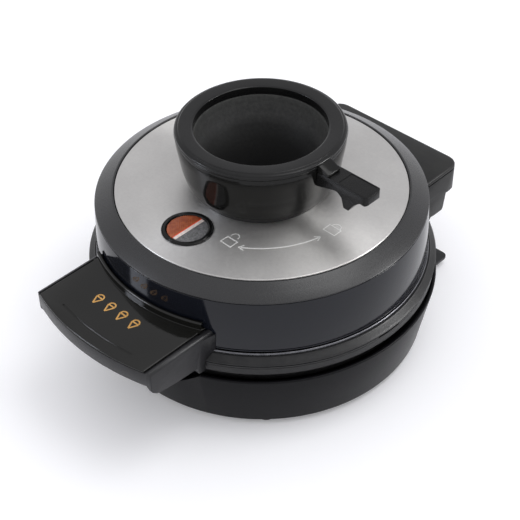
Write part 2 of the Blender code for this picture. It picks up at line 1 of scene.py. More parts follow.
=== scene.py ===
"""Looks of the waffle cone maker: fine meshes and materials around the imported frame.

Shapes are in millimetres from the body axis (x, y) and the table (z).  Every mesh is built about
the body axis, so each piece's own coordinates start there too.
"""
from math import acos, asin, ceil, cos, degrees, pi, radians, sin, tan

import bmesh
import bpy
from mathutils import Matrix, Vector


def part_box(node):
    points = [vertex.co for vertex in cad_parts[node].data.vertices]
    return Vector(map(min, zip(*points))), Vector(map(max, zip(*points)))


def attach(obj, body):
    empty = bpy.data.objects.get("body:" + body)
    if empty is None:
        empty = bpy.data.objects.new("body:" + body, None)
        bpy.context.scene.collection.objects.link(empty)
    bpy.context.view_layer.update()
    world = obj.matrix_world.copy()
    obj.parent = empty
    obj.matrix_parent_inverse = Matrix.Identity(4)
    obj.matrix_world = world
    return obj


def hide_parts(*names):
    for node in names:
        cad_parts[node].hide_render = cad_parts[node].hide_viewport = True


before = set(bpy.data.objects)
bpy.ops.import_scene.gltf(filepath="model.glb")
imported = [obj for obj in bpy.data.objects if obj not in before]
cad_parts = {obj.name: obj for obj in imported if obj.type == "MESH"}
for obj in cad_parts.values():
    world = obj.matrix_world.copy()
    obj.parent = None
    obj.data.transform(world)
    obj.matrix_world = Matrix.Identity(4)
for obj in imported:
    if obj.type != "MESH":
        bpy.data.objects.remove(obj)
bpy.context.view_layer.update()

MM = 0.001


def low(node, axis):
    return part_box(node)[0][axis] / MM


def high(node, axis):
    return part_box(node)[1][axis] / MM


X, Y, Z = 0, 1, 2

# ---- sizes taken from the frame -----------------------------------------------------------
AXIS_Y = (low("steel_top_plate", Y) + high("steel_top_plate", Y)) / 2
PLATE_RADIUS = high("steel_top_plate", X)
PLATE_TOP = high("steel_top_plate", Z)
LID_RADIUS = high("lid_shell", X)
LID_FOOT = low("lid_shell", Z)
LID_RIM = high("lid_top_ring", Z) - 7.2
FLANGE_RADIUS = high("upper_baking_plate", X)
PARTING = low("upper_baking_plate", Z) - 0.2
BASE_RADIUS = high("base_shell", X)
BASE_TOP = high("base_shell", Z)
BASE_BOTTOM = low("base_shell", Z)
BASE_FOOT_RADIUS = BASE_RADIUS - 7.1
DECK_TOP = high("base_deck", Z)
LIP_TOP = high("handle_top_plate", Z)
HANDLE_TOP = LIP_TOP - 4.9
HANDLE_REACH = AXIS_Y - low("handle_frame", Y)
HANDLE_HALF = high("handle_frame", X) - 1.8
HINGE_HALF = high("hinge_cover", X)
HINGE_REACH = high("hinge_cover", Y) - AXIS_Y
HINGE_TOP = high("hinge_cover", Z)
HINGE_Y = (low("hinge_pin", Y) + high("hinge_pin", Y)) / 2 - AXIS_Y
HINGE_Z = (low("hinge_pin", Z) + high("hinge_pin", Z)) / 2
BOWL_TOP = high("bowl_rim_ring", Z)
BOWL_RADIUS = high("bowl_rim_ring", X)
BOWL_FLOOR = low("bowl_shell", Z)
LEVER_TIP = high("lever", X)
LEVER_TOP = high("lever", Z)
LAMP_Y = (low("indicator_bezel", Y) + high("indicator_bezel", Y)) / 2 - AXIS_Y
BEZEL_RADIUS = high("indicator_bezel", X)
LAMP_BORE = high("indicator_lens_orange", Y) - AXIS_Y - LAMP_Y + 1.1
LENS_TOP = high("indicator_lens_clear", Z)

# ---- sizes shared by several pieces ---------------------------------------------------------
SMOOTH_STEPS = 240             # sides of a large turned piece
SMALL_STEPS = 48               # and of a small one
RIDGE_HEIGHT = 1.3             # waffle pattern of both baking plates
COLLAR_BORE = 36.8             # hole in lid and steel plate for the bayonet ring
HANDLE_ARC = 160.0             # radius of the handle's bowed front
HANDLE_WALL = 2.8
HANDLE_SCREW_X, HANDLE_SCREW_Z = 24, 71
HINGE_SCREW_X, HINGE_SCREW_Z = 14, 70
SCREW_HOLE = 2.3
TONGUE_HALF = 64.0             # tongue of the bottom cover that shows behind the base
GLAND_Z = 18                   # height of the cord gland
BOSS_CIRCLE = 84               # screws of the bottom cover
FOOT_CIRCLE = 98

# ---- camera, floor and light ---------------------------------------------------------------
CAMERA_PLACE = (0.4178, -0.4190, 0.5628)
CAMERA_PAN, CAMERA_TILT, CAMERA_ROLL = 44.66, 41.16, -0.91
FOCAL_LENGTH = 82.53
LIGHT_AIM = Vector((0, 0, 0.06))


def add_camera():
    data = bpy.data.cameras.new("camera")
    data.lens = FOCAL_LENGTH
    data.sensor_width = 36.0
    camera = bpy.data.objects.new("camera", data)
    bpy.context.scene.collection.objects.link(camera)
    camera.matrix_world = (
        Matrix.Translation(CAMERA_PLACE)
        @ Matrix.Rotation(radians(CAMERA_PAN), 4, "Z")
        @ Matrix.Rotation(radians(90 - CAMERA_TILT), 4, "X")
        @ Matrix.Rotation(radians(CAMERA_ROLL), 4, "Z"))
    bpy.context.scene.camera = camera
    bpy.context.scene.view_settings.view_transform = "Standard"


def soft_light(name, place, size, watts, colour=(1.0, 1.0, 1.0), rim_only=False):
    """A square soft box that faces the object; rim_only keeps it off the matt floor."""
    data = bpy.data.lights.new(name, "AREA")
    data.shape = "SQUARE"
    data.size = size
    data.energy = watts
    data.color = colour
    light = bpy.data.objects.new(name, data)
    light.location = place
    light.visible_diffuse = not rim_only
    towards = LIGHT_AIM - Vector(place)
    light.rotation_euler = towards.to_track_quat("-Z", "Y").to_euler()
    bpy.context.scene.collection.objects.link(light)


def studio_world():
    """White studio: bright round the horizon, darker above the sweep, a soft box overhead."""
    world = bpy.data.worlds.new("studio")
    bpy.context.scene.world = world
    world.use_nodes = True
    nodes = world.node_tree.nodes
    links = world.node_tree.links
    where = nodes.new("ShaderNodeTexCoord")
    split = nodes.new("ShaderNodeSeparateXYZ")
    ramp = nodes.new("ShaderNodeValToRGB")
    links.new(where.outputs["Generated"], split.inputs[0])
    links.new(split.outputs["Z"], ramp.inputs[0])
    links.new(ramp.outputs[0], nodes["Background"].inputs["Color"])
    stops = ramp.color_ramp.elements
    stops[0].position = 0.0
    stops[0].color = (1.0, 1.0, 1.0, 1)
    stops[1].position = 1.0
    stops[1].color = (1.12, 1.13, 1.16, 1)
    for position, value in ((0.25, 0.98), (0.45, 0.80), (0.70, 0.76), (0.88, 0.96)):
        stop = stops.new(position)
        stop.color = (value, value, value * 1.03, 1)
    nodes["Background"].inputs["Strength"].default_value = 1.0


def floor():
    bpy.ops.mesh.primitive_grid_add(size=6.0, x_subdivisions=2, y_subdivisions=2)
    sweep = bpy.context.object
    sweep.name = "floor"
    sweep.data.materials.append(FLOOR)


# ---- materials ------------------------------------------------------------------------------
def graph(mat):
    nodes = mat.node_tree.nodes

    def add(kind, **inputs):
        node = nodes.new(kind)
        for name, value in inputs.items():
            node.inputs[name.replace("_", " ")].default_value = value
        return node
    return add, mat.node_tree.links.new, nodes["Principled BSDF"]


def ramp_between(add, link, factor, first, second, start=0.3, end=0.7):
    """Blend two colours along a 0 to 1 factor."""
    ramp = add("ShaderNodeValToRGB")
    ramp.color_ramp.elements[0].position = start
    ramp.color_ramp.elements[1].position = end
    ramp.color_ramp.elements[0].color = (*first, 1)
    ramp.color_ramp.elements[1].color = (*second, 1)
    link(factor, ramp.inputs[0])
    return ramp.outputs[0]


def range_between(add, link, factor, first, second, start=0.3, end=0.7):
    span = add("ShaderNodeMapRange")
    for socket, value in zip(("From Min", "From Max", "To Min", "To Max"),
                             (start, end, first, second)):
        span.inputs[socket].default_value = value
    link(factor, span.inputs["Value"])
    return span.outputs["Result"]


def surface(name, dark, light, gloss, grain_mm, bump, metallic=0.0, patch_mm=30.0, **constant):
    """A finish with slow patches of colour and gloss, and a fine grain as bump.

    gloss is (lowest, highest) roughness; bump is the strength of the grain, grain_mm its size.
    """
    mat = bpy.data.materials.new(name)
    mat.use_nodes = True
    add, link, shader = graph(mat)
    shader.inputs["Metallic"].default_value = metallic
    for socket, value in constant.items():
        shader.inputs[socket.replace("_", " ")].default_value = value
    where = add("ShaderNodeTexCoord").outputs["Object"]
    patches = add("ShaderNodeTexNoise", Scale=1000.0 / patch_mm, Detail=4.0, Roughness=0.6)
    grain = add("ShaderNodeTexNoise", Scale=1000.0 / grain_mm, Detail=3.0, Roughness=0.55)
    link(where, patches.inputs["Vector"])
    link(where, grain.inputs["Vector"])
    link(ramp_between(add, link, patches.outputs["Fac"], dark, light), shader.inputs["Base Color"])
    link(range_between(add, link, grain.outputs["Fac"], *gloss), shader.inputs["Roughness"])
    relief = add("ShaderNodeBump", Strength=bump, Distance=0.0002)
    link(grain.outputs["Fac"], relief.inputs["Height"])
    link(relief.outputs["Normal"], shader.inputs["Normal"])
    return mat


def brushed_steel(name, dark, light, gloss, centre_x=0.0, centre_y=0.0):
    """Stainless sheet brushed in circles: rings of fine scratches about a centre."""
    mat = bpy.data.materials.new(name)
    mat.use_nodes = True
    add, link, shader = graph(mat)
    shader.inputs["Metallic"].default_value = 1.0
    shader.inputs["Anisotropic"].default_value = 0.8
    shader.inputs["Anisotropic Rotation"].default_value = 0.25
    where = add("ShaderNodeTexCoord").outputs["Object"]
    shift = add("ShaderNodeMapping")
    shift.inputs["Location"].default_value = (-centre_x * MM, -centre_y * MM, 0)
    shift.inputs["Scale"].default_value = (1, 1, 0)
    radius = add("ShaderNodeVectorMath")
    radius.operation = "LENGTH"
    link(where, shift.inputs["Vector"])
    link(shift.outputs[0], radius.inputs[0])
    lines = add("ShaderNodeTexNoise", Scale=5200.0, Detail=5.0, Roughness=0.7)
    lines.noise_dimensions = "1D"
    link(radius.outputs["Value"], lines.inputs["W"])
    broken = add("ShaderNodeTexNoise", Scale=420.0, Detail=6.0, Roughness=0.75)
    link(where, broken.inputs["Vector"])
    clouds = add("ShaderNodeTexNoise", Scale=38.0, Detail=3.0, Roughness=0.5)
    link(where, clouds.inputs["Vector"])
    mixed = add("ShaderNodeMix")
    mixed.inputs["Factor"].default_value = 0.6
    link(lines.outputs["Fac"], mixed.inputs["A"])
    link(broken.outputs["Fac"], mixed.inputs["B"])
    tone = add("ShaderNodeMix")
    tone.inputs["Factor"].default_value = 0.35
    link(mixed.outputs["Result"], tone.inputs["A"])
    link(clouds.outputs["Fac"], tone.inputs["B"])
    link(ramp_between(add, link, tone.outputs["Result"], dark, light), shader.inputs["Base Color"])
    link(range_between(add, link, mixed.outputs["Result"], *gloss), shader.inputs["Roughness"])
    relief = add("ShaderNodeBump", Strength=0.16, Distance=0.0001)
    link(mixed.outputs["Result"], relief.inputs["Height"])
    link(relief.outputs["Normal"], shader.inputs["Normal"])
    tangent = add("ShaderNodeTangent")
    tangent.direction_type = "RADIAL"
    tangent.axis = "Z"
    link(tangent.outputs[0], shader.inputs["Tangent"])
    return mat


def coating_with_painted_shade(name, bottom, top):
    """Coating of the forming bowl with painted shade: grey near the rim, darkening to near black at
    the bottom where the hollow is in shade.
    """
    mat = surface(name, (0.72, 0.72, 0.72), (1.0, 1.0, 0.98), (0.50, 0.66), 1.1, 0.5, patch_mm=2.4,
                  Specular_IOR_Level=0.08)
    add, link, shader = graph(mat)
    split = add("ShaderNodeSeparateXYZ")
    link(add("ShaderNodeTexCoord").outputs["Object"], split.inputs[0])
    depth = range_between(add, link, split.outputs["Z"], 0.0, 1.0, bottom * MM, top * MM)
    # painted shade: the colour runs from near black at the bowl's bottom to grey at the rim,
    # standing in for the shade deep in the hollow
    ramp = add("ShaderNodeValToRGB")
    ramp.color_ramp.elements[0].color = (0.002, 0.002, 0.002, 1)
    ramp.color_ramp.elements[1].color = (0.076, 0.077, 0.075, 1)
    for position, value in ((0.18, 0.006), (0.39, 0.022), (0.60, 0.062)):
        ramp.color_ramp.elements.new(position).color = (value, value, value, 1)
    link(depth, ramp.inputs[0])
    painted_shade = add("ShaderNodeVectorMath")
    painted_shade.operation = "MULTIPLY"
    link(shader.inputs["Base Color"].links[0].from_socket, painted_shade.inputs[0])
    link(ramp.outputs[0], painted_shade.inputs[1])
    link(painted_shade.outputs[0], shader.inputs["Base Color"])
    return mat


SATIN_BLACK = surface("satin_black", (0.010, 0.010, 0.011), (0.014, 0.014, 0.015),
                      (0.24, 0.34), 0.5, 0.10, patch_mm=40)
BASE_BLACK = surface("base_black", (0.0035, 0.0035, 0.0045), (0.005, 0.005, 0.006),
                     (0.26, 0.38), 0.45, 0.16, patch_mm=50, Specular_IOR_Level=0.10)
RIM_BLACK = surface("rim_black", (0.006, 0.006, 0.006), (0.009, 0.009, 0.009),
                    (0.17, 0.25), 0.4, 0.12, patch_mm=18, Specular_IOR_Level=0.24)
GLOSS_BLACK = surface("gloss_black", (0.004, 0.005, 0.008), (0.006, 0.007, 0.011),
                      (0.07, 0.12), 1.2, 0.03, patch_mm=60, Specular_IOR_Level=0.3)
BOWL_BLACK = surface("bowl_black", (0.005, 0.005, 0.005), (0.008, 0.008, 0.007),
                     (0.10, 0.16), 0.8, 0.05, patch_mm=25, Specular_IOR_Level=0.2)
HANDLE_BLACK = surface("handle_plate_black", (0.004, 0.004, 0.003), (0.006, 0.006, 0.005),
                       (0.05, 0.09), 0.7, 0.05, patch_mm=35, Specular_IOR_Level=0.36)
LEVER_BLACK = surface("lever_black", (0.005, 0.005, 0.005), (0.009, 0.009, 0.009),
                      (0.22, 0.32), 0.5, 0.12, patch_mm=12, Specular_IOR_Level=0.17)
GRAINED_BLACK = surface("grained_black", (0.010, 0.010, 0.011), (0.016, 0.016, 0.018),
                        (0.30, 0.42), 0.55, 0.45, patch_mm=8, Specular_IOR_Level=0.28)
HINGE_BLACK = surface("hinge_black", (0.022, 0.022, 0.022), (0.030, 0.030, 0.029),
                      (0.30, 0.42), 0.5, 0.25, patch_mm=20, Specular_IOR_Level=0.14)
NON_STICK = surface("non_stick", (0.010, 0.010, 0.011), (0.018, 0.018, 0.018),
                    (0.30, 0.46), 0.9, 0.55, metallic=0.1, patch_mm=5, Specular_IOR_Level=0.3)
# the liner's colour carries painted shade, darker towards the bottom of the bowl
LINER = coating_with_painted_shade("bowl_liner_coating", 115.8, 144.8)
STEEL = brushed_steel("brushed_steel", (0.50, 0.49, 0.48), (0.66, 0.65, 0.63), (0.38, 0.48))
ETCHED = surface("etched_marks", (0.82, 0.82, 0.80), (0.95, 0.95, 0.93), (0.45, 0.6), 0.3, 0.4,
                 metallic=0.6, patch_mm=2)
PLAIN_STEEL = surface("plain_steel", (0.42, 0.42, 0.43), (0.62, 0.62, 0.62), (0.22, 0.36), 0.25,
                      0.2, metallic=1.0, patch_mm=4)
ALUMINIUM = surface("aluminium", (0.62, 0.62, 0.63), (0.78, 0.78, 0.79), (0.3, 0.45), 0.6, 0.25,
                    metallic=1.0, patch_mm=9)
HEATER = surface("heater_sheath", (0.10, 0.085, 0.07), (0.26, 0.23, 0.20), (0.4, 0.6), 0.5, 0.4,
                 metallic=0.9, patch_mm=6)
RUBBER = surface("rubber", (0.016, 0.016, 0.016), (0.028, 0.028, 0.027), (0.6, 0.8), 0.35, 0.5,
                 patch_mm=5)
CERAMIC = surface("ceramic", (0.70, 0.67, 0.60), (0.82, 0.80, 0.75), (0.2, 0.4), 0.8, 0.2,
                  patch_mm=7)
ORANGE = surface("orange_lens", (0.26, 0.045, 0.012), (0.46, 0.11, 0.03), (0.1, 0.22), 0.6, 0.4,
                 patch_mm=3, Transmission_Weight=0.15)
CLEAR = surface("clear_lens", (0.10, 0.10, 0.10), (0.30, 0.30, 0.31), (0.08, 0.2), 0.5, 0.5,
                patch_mm=1.3, Transmission_Weight=0.35)
BARE_EDGE = surface("bare_edge", (0.10, 0.10, 0.11), (0.17, 0.17, 0.18), (0.2, 0.32), 0.6, 0.2,
                    metallic=1.0, patch_mm=6)
BEZEL_BLACK = surface("bezel_black", (0.004, 0.004, 0.004), (0.007, 0.007, 0.007), (0.12, 0.2),
                      0.8, 0.05, patch_mm=6, Specular_IOR_Level=0.2)
RED_EDGE = surface("red_edge", (0.62, 0.045, 0.012), (0.80, 0.09, 0.02), (0.2, 0.35), 0.5, 0.2,
                   patch_mm=2)
STRIP = surface("lens_strip", (0.62, 0.50, 0.46), (0.85, 0.76, 0.72), (0.25, 0.4), 0.5, 0.2,
                patch_mm=2)
GLASS = surface("neon_glass", (0.80, 0.48, 0.30), (0.92, 0.66, 0.45), (0.04, 0.1), 0.8, 0.05,
                patch_mm=3, Transmission_Weight=0.8)
GOLD = surface("gold_print", (0.52, 0.26, 0.06), (0.72, 0.42, 0.13), (0.35, 0.5), 0.3, 0.3,
               metallic=0.35, patch_mm=1.5)
FLOOR = surface("white_floor", (0.93, 0.93, 0.95), (0.95, 0.95, 0.97), (0.8, 0.95), 3.0, 0.05,
                patch_mm=200, Emission_Color=(1.0, 1.0, 1.0, 1.0), Emission_Strength=0.12)


# ---- mesh helpers -----------------------------------------------------------------------------
def rounded(outline, segments=4):
    """Closed outline of (u, v) or (u, v, radius): a radius turns that corner into an arc."""
    points = []
    for i, corner in enumerate(outline):
        here = Vector(corner[:2])
        if len(corner) == 2:
            points.append(here)
            continue
        before = Vector(outline[i - 1][:2]) - here
        after = Vector(outline[(i + 1) % len(outline)][:2]) - here
        half = before.angle(after) / 2
        reach = min(corner[2] / tan(half), 0.48 * before.length, 0.48 * after.length)
        middle = (before.normalized() + after.normalized()).normalized() * reach / cos(half)
        start = before.normalized() * reach - middle
        turn = start.angle_signed(after.normalized() * reach - middle)
        for step in range(segments + 1):
            points.append(here + middle + Matrix.Rotation(-turn * step / segments, 2) @ start)
    return points


def arc(radius, start, end, count, centre=(0.0, 0.0)):
    """Points on an arc, angles in degrees counted from +X."""
    points = []
    for i in range(count + 1):
        angle = radians(start + (end - start) * i / count)
        points.append((centre[0] + radius * cos(angle), centre[1] + radius * sin(angle)))
    return points


def around(radius, angle):
    return radius * cos(radians(angle)), radius * sin(radians(angle))


def mirrored(points):
    return [(-point[0], *point[1:]) for point in reversed(points)]


def shade(piece):
    piece.data.shade_smooth()
    piece.data.set_sharp_from_angle(angle=radians(32))
    return piece


def finish_mesh(shape, name, mat=None, matrix=None):
    """Turn a bmesh in millimetres into an object on the body axis.

    A shape that only cuts or joins another takes that one's material, so it has none.
    """
    if matrix is not None:
        bmesh.ops.transform(shape, matrix=matrix, verts=shape.verts)
    bmesh.ops.scale(shape, vec=(MM, MM, MM), verts=shape.verts)
    bmesh.ops.recalc_face_normals(shape, faces=shape.faces)
    mesh = bpy.data.meshes.new(name)
    shape.to_mesh(mesh)
    shape.free()
    piece = bpy.data.objects.new(name, mesh)
    piece.location = (0, AXIS_Y * MM, 0)
    bpy.context.scene.collection.objects.link(piece)
    if mat:
        mesh.materials.append(mat)
    return shade(piece)


def turned(name, outline, mat=None, steps=SMOOTH_STEPS, start=0.0, sweep=360.0, matrix=None):
    """Turn a closed outline of (radius, height) about the vertical axis."""
    profile = rounded(outline)
    whole = sweep == 360.0
    shape = bmesh.new()
    rings = []
    for r, z in profile:
        if r < 1e-6:
            rings.append([shape.verts.new((0, 0, z))] * (steps + 1))
            continue
        ring = []
        for i in range(steps if whole else steps + 1):
            angle = radians(start + sweep * i / steps)
            ring.append(shape.verts.new((r * cos(angle), r * sin(angle), z)))
        rings.append(ring + ring[:1] if whole else ring)
    for first, second in zip(rings, rings[1:] + rings[:1]):
        for i in range(steps):
            corners = list(dict.fromkeys((first[i], first[i + 1], second[i + 1], second[i])))
            if len(corners) > 2:
                shape.faces.new(corners)
    if not whole:
        shape.faces.new([ring[0] for ring in rings])
        shape.faces.new([ring[-1] for ring in rings])
    return finish_mesh(shape, name, mat, matrix)


def rod(name, radius, bottom, top, matrix=None, steps=SMALL_STEPS):
    """A plain cylinder, to cut a hole with."""
    return turned(name, [(0, bottom), (radius, bottom), (radius, top), (0, top)], steps=steps,
                  matrix=matrix)


def oblong(x0, y0, x1, y1, corner=None):
    """Outline of a rectangle, its corners rounded if a radius is given."""
    points = [(x0, y0), (x1, y0), (x1, y1), (x0, y1)]
    return points if corner is None else [(x, y, corner) for x, y in points]


def slab(name, outline, bottom, top, mat=None, normal="Z", edge=0.0, segments=3, matrix=None):
    """A flat outline given a thickness and rounded edges.

    normal Z: points are (x, y) over z;  X: (y, z) over x;  Y: (x, z) over y.
    """
    shape = bmesh.new()
    base = [shape.verts.new((u, v, bottom)) for u, v in rounded(outline)]
    face = shape.faces.new(base)
    lifted = bmesh.ops.extrude_face_region(shape, geom=[face])["geom"]
    moved = [item for item in lifted if isinstance(item, bmesh.types.BMVert)]
    bmesh.ops.translate(shape, vec=(0, 0, top - bottom), verts=moved)
    bmesh.ops.recalc_face_normals(shape, faces=shape.faces)
    if edge:
        rims = [e for e in shape.edges if abs(e.verts[0].co.z - e.verts[1].co.z) < 1e-6]
        bmesh.ops.bevel(shape, geom=rims, offset=edge, segments=segments, profile=0.5,
                        affect="EDGES", clamp_overlap=True)
    turns = {"Z": ((1, 0, 0), (0, 1, 0), (0, 0, 1)), "X": ((0, 0, 1), (1, 0, 0), (0, 1, 0)),
             "Y": ((1, 0, 0), (0, 0, 1), (0, 1, 0))}
    bmesh.ops.transform(shape, matrix=Matrix(turns[normal]).to_4x4(), verts=shape.verts)
    return finish_mesh(shape, name, mat, matrix)


def block(name, corner, opposite, mat, edge):
    """A box between two corners, edges rounded."""
    (x0, y0, z0), (x1, y1, z1) = corner, opposite
    return slab(name, oblong(x0, y0, x1, y1, edge), z0, z1, mat, edge=edge)


def tube(name, points, radius, mat, closed=False):
    """A round wire through points."""
    curve = bpy.data.curves.new(name, "CURVE")
    curve.dimensions = "3D"
    curve.bevel_depth = radius * MM
    curve.bevel_resolution = 5
    curve.use_fill_caps = True
    line = curve.splines.new("POLY")
    line.points.add(len(points) - 1)
    for point, co in zip(line.points, points):
        point.co = (co[0] * MM, co[1] * MM, co[2] * MM, 1.0)
    line.use_cyclic_u = closed
    holder = bpy.data.objects.new(name + "_path", curve)
    bpy.context.scene.collection.objects.link(holder)
    bpy.context.view_layer.update()
    mesh = bpy.data.meshes.new_from_object(
        holder.evaluated_get(bpy.context.evaluated_depsgraph_get()))
    bpy.data.objects.remove(holder, do_unlink=True)
    shape = bmesh.new()
    shape.from_mesh(mesh)
    bpy.data.meshes.remove(mesh)
    bmesh.ops.remove_doubles(shape, verts=shape.verts, dist=0.00001)
    bmesh.ops.scale(shape, vec=(1 / MM, 1 / MM, 1 / MM), verts=shape.verts)
    return finish_mesh(shape, name, mat)


def smooth_path(points, per_span=8):
    """Catmull-Rom curve through points."""
    path = []
    ends = [points[0]] + points + [points[-1]]
    for a, b, c, d in zip(ends, ends[1:], ends[2:], ends[3:]):
        a, b, c, d = Vector(a), Vector(b), Vector(c), Vector(d)
        for i in range(per_span):
            t = i / per_span
            path.append(0.5 * (2 * b + (c - a) * t + (2 * a - 5 * b + 4 * c - d) * t * t
                               + (3 * b - a - 3 * c + d) * t ** 3))
    return path + [Vector(points[-1])]


def settle(piece):
    """Make the piece's modifiers part of its mesh."""
    depsgraph = bpy.context.evaluated_depsgraph_get()
    mesh = bpy.data.meshes.new_from_object(piece.evaluated_get(depsgraph))
    piece.modifiers.clear()
    piece.data = mesh
    return shade(piece)


def combine(piece, tools, operation):
    for tool in tools:
        step = piece.modifiers.new(tool.name, "BOOLEAN")
        step.operation = operation
        step.solver = "EXACT"
        step.object = tool
    settle(piece)
    for tool in tools:
        bpy.data.objects.remove(tool, do_unlink=True)
    return piece


def cut(piece, *tools):
    return combine(piece, tools, "DIFFERENCE")


def join(piece, *tools):
    return combine(piece, tools, "UNION")


def keep_inside(piece, *tools):
    return combine(piece, tools, "INTERSECT")


def soften(piece, width, angle=50.0, segments=2):
    """Round the edges that a cut left sharp."""
    step = piece.modifiers.new("soft_edges", "BEVEL")
    step.width = width * MM
    step.segments = segments
    step.limit_method = "ANGLE"
    step.angle_limit = radians(angle)
    step.use_clamp_overlap = True
    return settle(piece)


def stands_for(piece, body, slot, *nodes):
    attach(piece, body)
    if nodes:
        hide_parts(*nodes)
    return piece


def lattice(name, half, pitch, ridge, flank, floor_z, height, back_z, mat=None, spin=0.0):
    """A square block whose face carries crossing ridges; height may be negative."""
    count = ceil(half / pitch)
    stations = []
    for k in range(-count, count + 1):
        for offset, raised in ((-ridge / 2 - flank, 0), (-ridge / 2, 1), (ridge / 2, 1),
                               (ridge / 2 + flank, 0)):
            stations.append((k * pitch + offset, raised))
    shape = bmesh.new()
    face = [[shape.verts.new((u, v, floor_z + height * max(a, b))) for v, b in stations]
            for u, a in stations]
    size = len(stations) - 1
    for i in range(size):
        for j in range(size):
            shape.faces.new((face[i][j], face[i + 1][j], face[i + 1][j + 1], face[i][j + 1]))
    border = ([face[i][0] for i in range(size)] + [face[size][j] for j in range(size)]
              + [face[i][size] for i in range(size, 0, -1)]
              + [face[0][j] for j in range(size, 0, -1)])
    back = [shape.verts.new((vert.co.x, vert.co.y, back_z)) for vert in border]
    for i in range(len(border)):
        j = (i + 1) % len(border)
        shape.faces.new((border[i], border[j], back[j], back[i]))
    shape.faces.new(back)
    return finish_mesh(shape, name, mat, Matrix.Rotation(radians(spin), 4, "Z"))


def at(x, y, z=0.0):
    return Matrix.Translation((x, y, z))


def along_y(x, y, z):
    """Matrix that lays a turned piece's axis along +Y, from (x, y, z)."""
    return at(x, y, z) @ Matrix.Rotation(-pi / 2, 4, "X")


def along_x(x, y, z):
    return at(x, y, z) @ Matrix.Rotation(pi / 2, 4, "Y")


# ---- base -------------------------------------------------------------------------------------
def base_wall():
    wall = turned("base_wall", [
        (BASE_RADIUS, BASE_TOP, 0.9), (BASE_FOOT_RADIUS, BASE_BOTTOM, 1.2),
        (104.7, BASE_BOTTOM, 0.3), (108.2, 27.0, 0.4), (106.0, 27.4, 0.3), (106.0, 28.4, 0.3),
        (110.0, 28.8, 0.4), (112.0, BASE_TOP, 0.7)], BASE_BLACK)
    notch = [(49.4, BASE_TOP + 2.0), (47.8, BASE_TOP - 0.4, 2.0), (33.0, 32.0, 3.0)]
    cut(wall, slab("notch", notch + mirrored(notch), -125, -96, normal="Y"))
    cut(wall, rod("gland_hole", 6.8, 0, 40, along_y(0, 92, GLAND_Z)))
    half = TONGUE_HALF + 0.3
    cut(wall, slab("tongue_slot", [(half, 60), (half, 140), (-half, 140), (-half, 60)], 3, 7.4))
    stands_for(wall, "base", "satin_black_plastic", "base_shell")


def base_deck():
    deck = turned("base_deck_ring", [
        (72.0, DECK_TOP, 0.4), (109.2, DECK_TOP, 0.4), (109.2, 28.8, 0.3), (72.0, 28.8, 0.4)],
        BASE_BLACK)
    posts = []
    for i in range(4):
        posts.append(turned(f"boss_{i}", [
            (1.9, 7.4, 0.2), (5.0, 7.4, 0.4), (5.0, 27.4, 0.2), (6.2, 29.6), (1.9, 29.6)],
            steps=SMALL_STEPS, matrix=at(*around(BOSS_CIRCLE, 45 + 90 * i))))
    join(deck, *posts)
    stands_for(deck, "base", "satin_black_plastic", "base_deck")
    shield = turned("heat_shield_ring", [
        (101.0, DECK_TOP + 0.3, 0.2), (101.0, 46.8, 0.5), (102.6, 46.8, 0.5),
        (103.0, DECK_TOP + 0.3, 0.2)], BASE_BLACK)
    stands_for(shield, "base", "satin_black_plastic", "heat_shield")


def hinge_brackets():
    lug = arc(6.5, 0, 180, 20, (HINGE_Y, HINGE_Z)) + [
        (HINGE_Y - 6.5, 44.5), (98.0, 44.0), (98.0, 30.5), (113.5, 30.5, 1.0),
        (HINGE_Y + 2.0, 38.0, 2.0), (HINGE_Y + 6.5, 44.0, 2.0)]
    for side, node in ((-1, "hinge_bracket_left"), (1, "hinge_bracket_right")):
        bottom, top = sorted((side * 35.5, side * 49.5))
        bracket = slab(node + "_casting", lug, bottom, top, BASE_BLACK, normal="X", edge=0.7)
        outside = turned("bucket", [
            (0, 90), (BASE_RADIUS + 0.3, 90), (BASE_RADIUS + 0.3, BASE_TOP - 0.8),
            (BASE_FOOT_RADIUS + 0.3, BASE_BOTTOM), (0, BASE_BOTTOM)])
        bore = rod("bore", 2.8, -60, 60, along_x(0, HINGE_Y, HINGE_Z))
        cut(bracket, outside, bore)
        stands_for(bracket, "base", "satin_black_plastic", node)


def pan_screw(name, body, node, head, matrix, tip, shank=1.6, pitch=0.9):
    """A cross-head screw: its head starts at height 0 and its point is at height tip.

    head is (radius, height).
    """
    radius, height = head
    outline = [(0, 0), (radius - 0.2, 0, 0.4), (radius, height * 0.55, 0.5),
               (radius - 0.1, height, 0.2), (shank * 0.82, height)]
    turns = int((tip - height - 1.5) / pitch)
    for i in range(turns):
        z = height + 0.4 + i * pitch
        outline += [(shank * 0.80, z), (shank, z + pitch / 2), (shank * 0.80, z + pitch * 0.98)]
    outline += [(0, tip)]
    screw = turned(name, outline, PLAIN_STEEL, 36, matrix=matrix)
    wide, narrow = radius * 0.62, radius * 0.14
    cross = [slab(f"cross_{i}", oblong(-u, -v, u, v), -1, height * 0.55, matrix=matrix)
             for i, (u, v) in enumerate(((wide, narrow), (narrow, wide)))]
    cut(screw, *cross)
    stands_for(screw, body, "plain_steel", node)


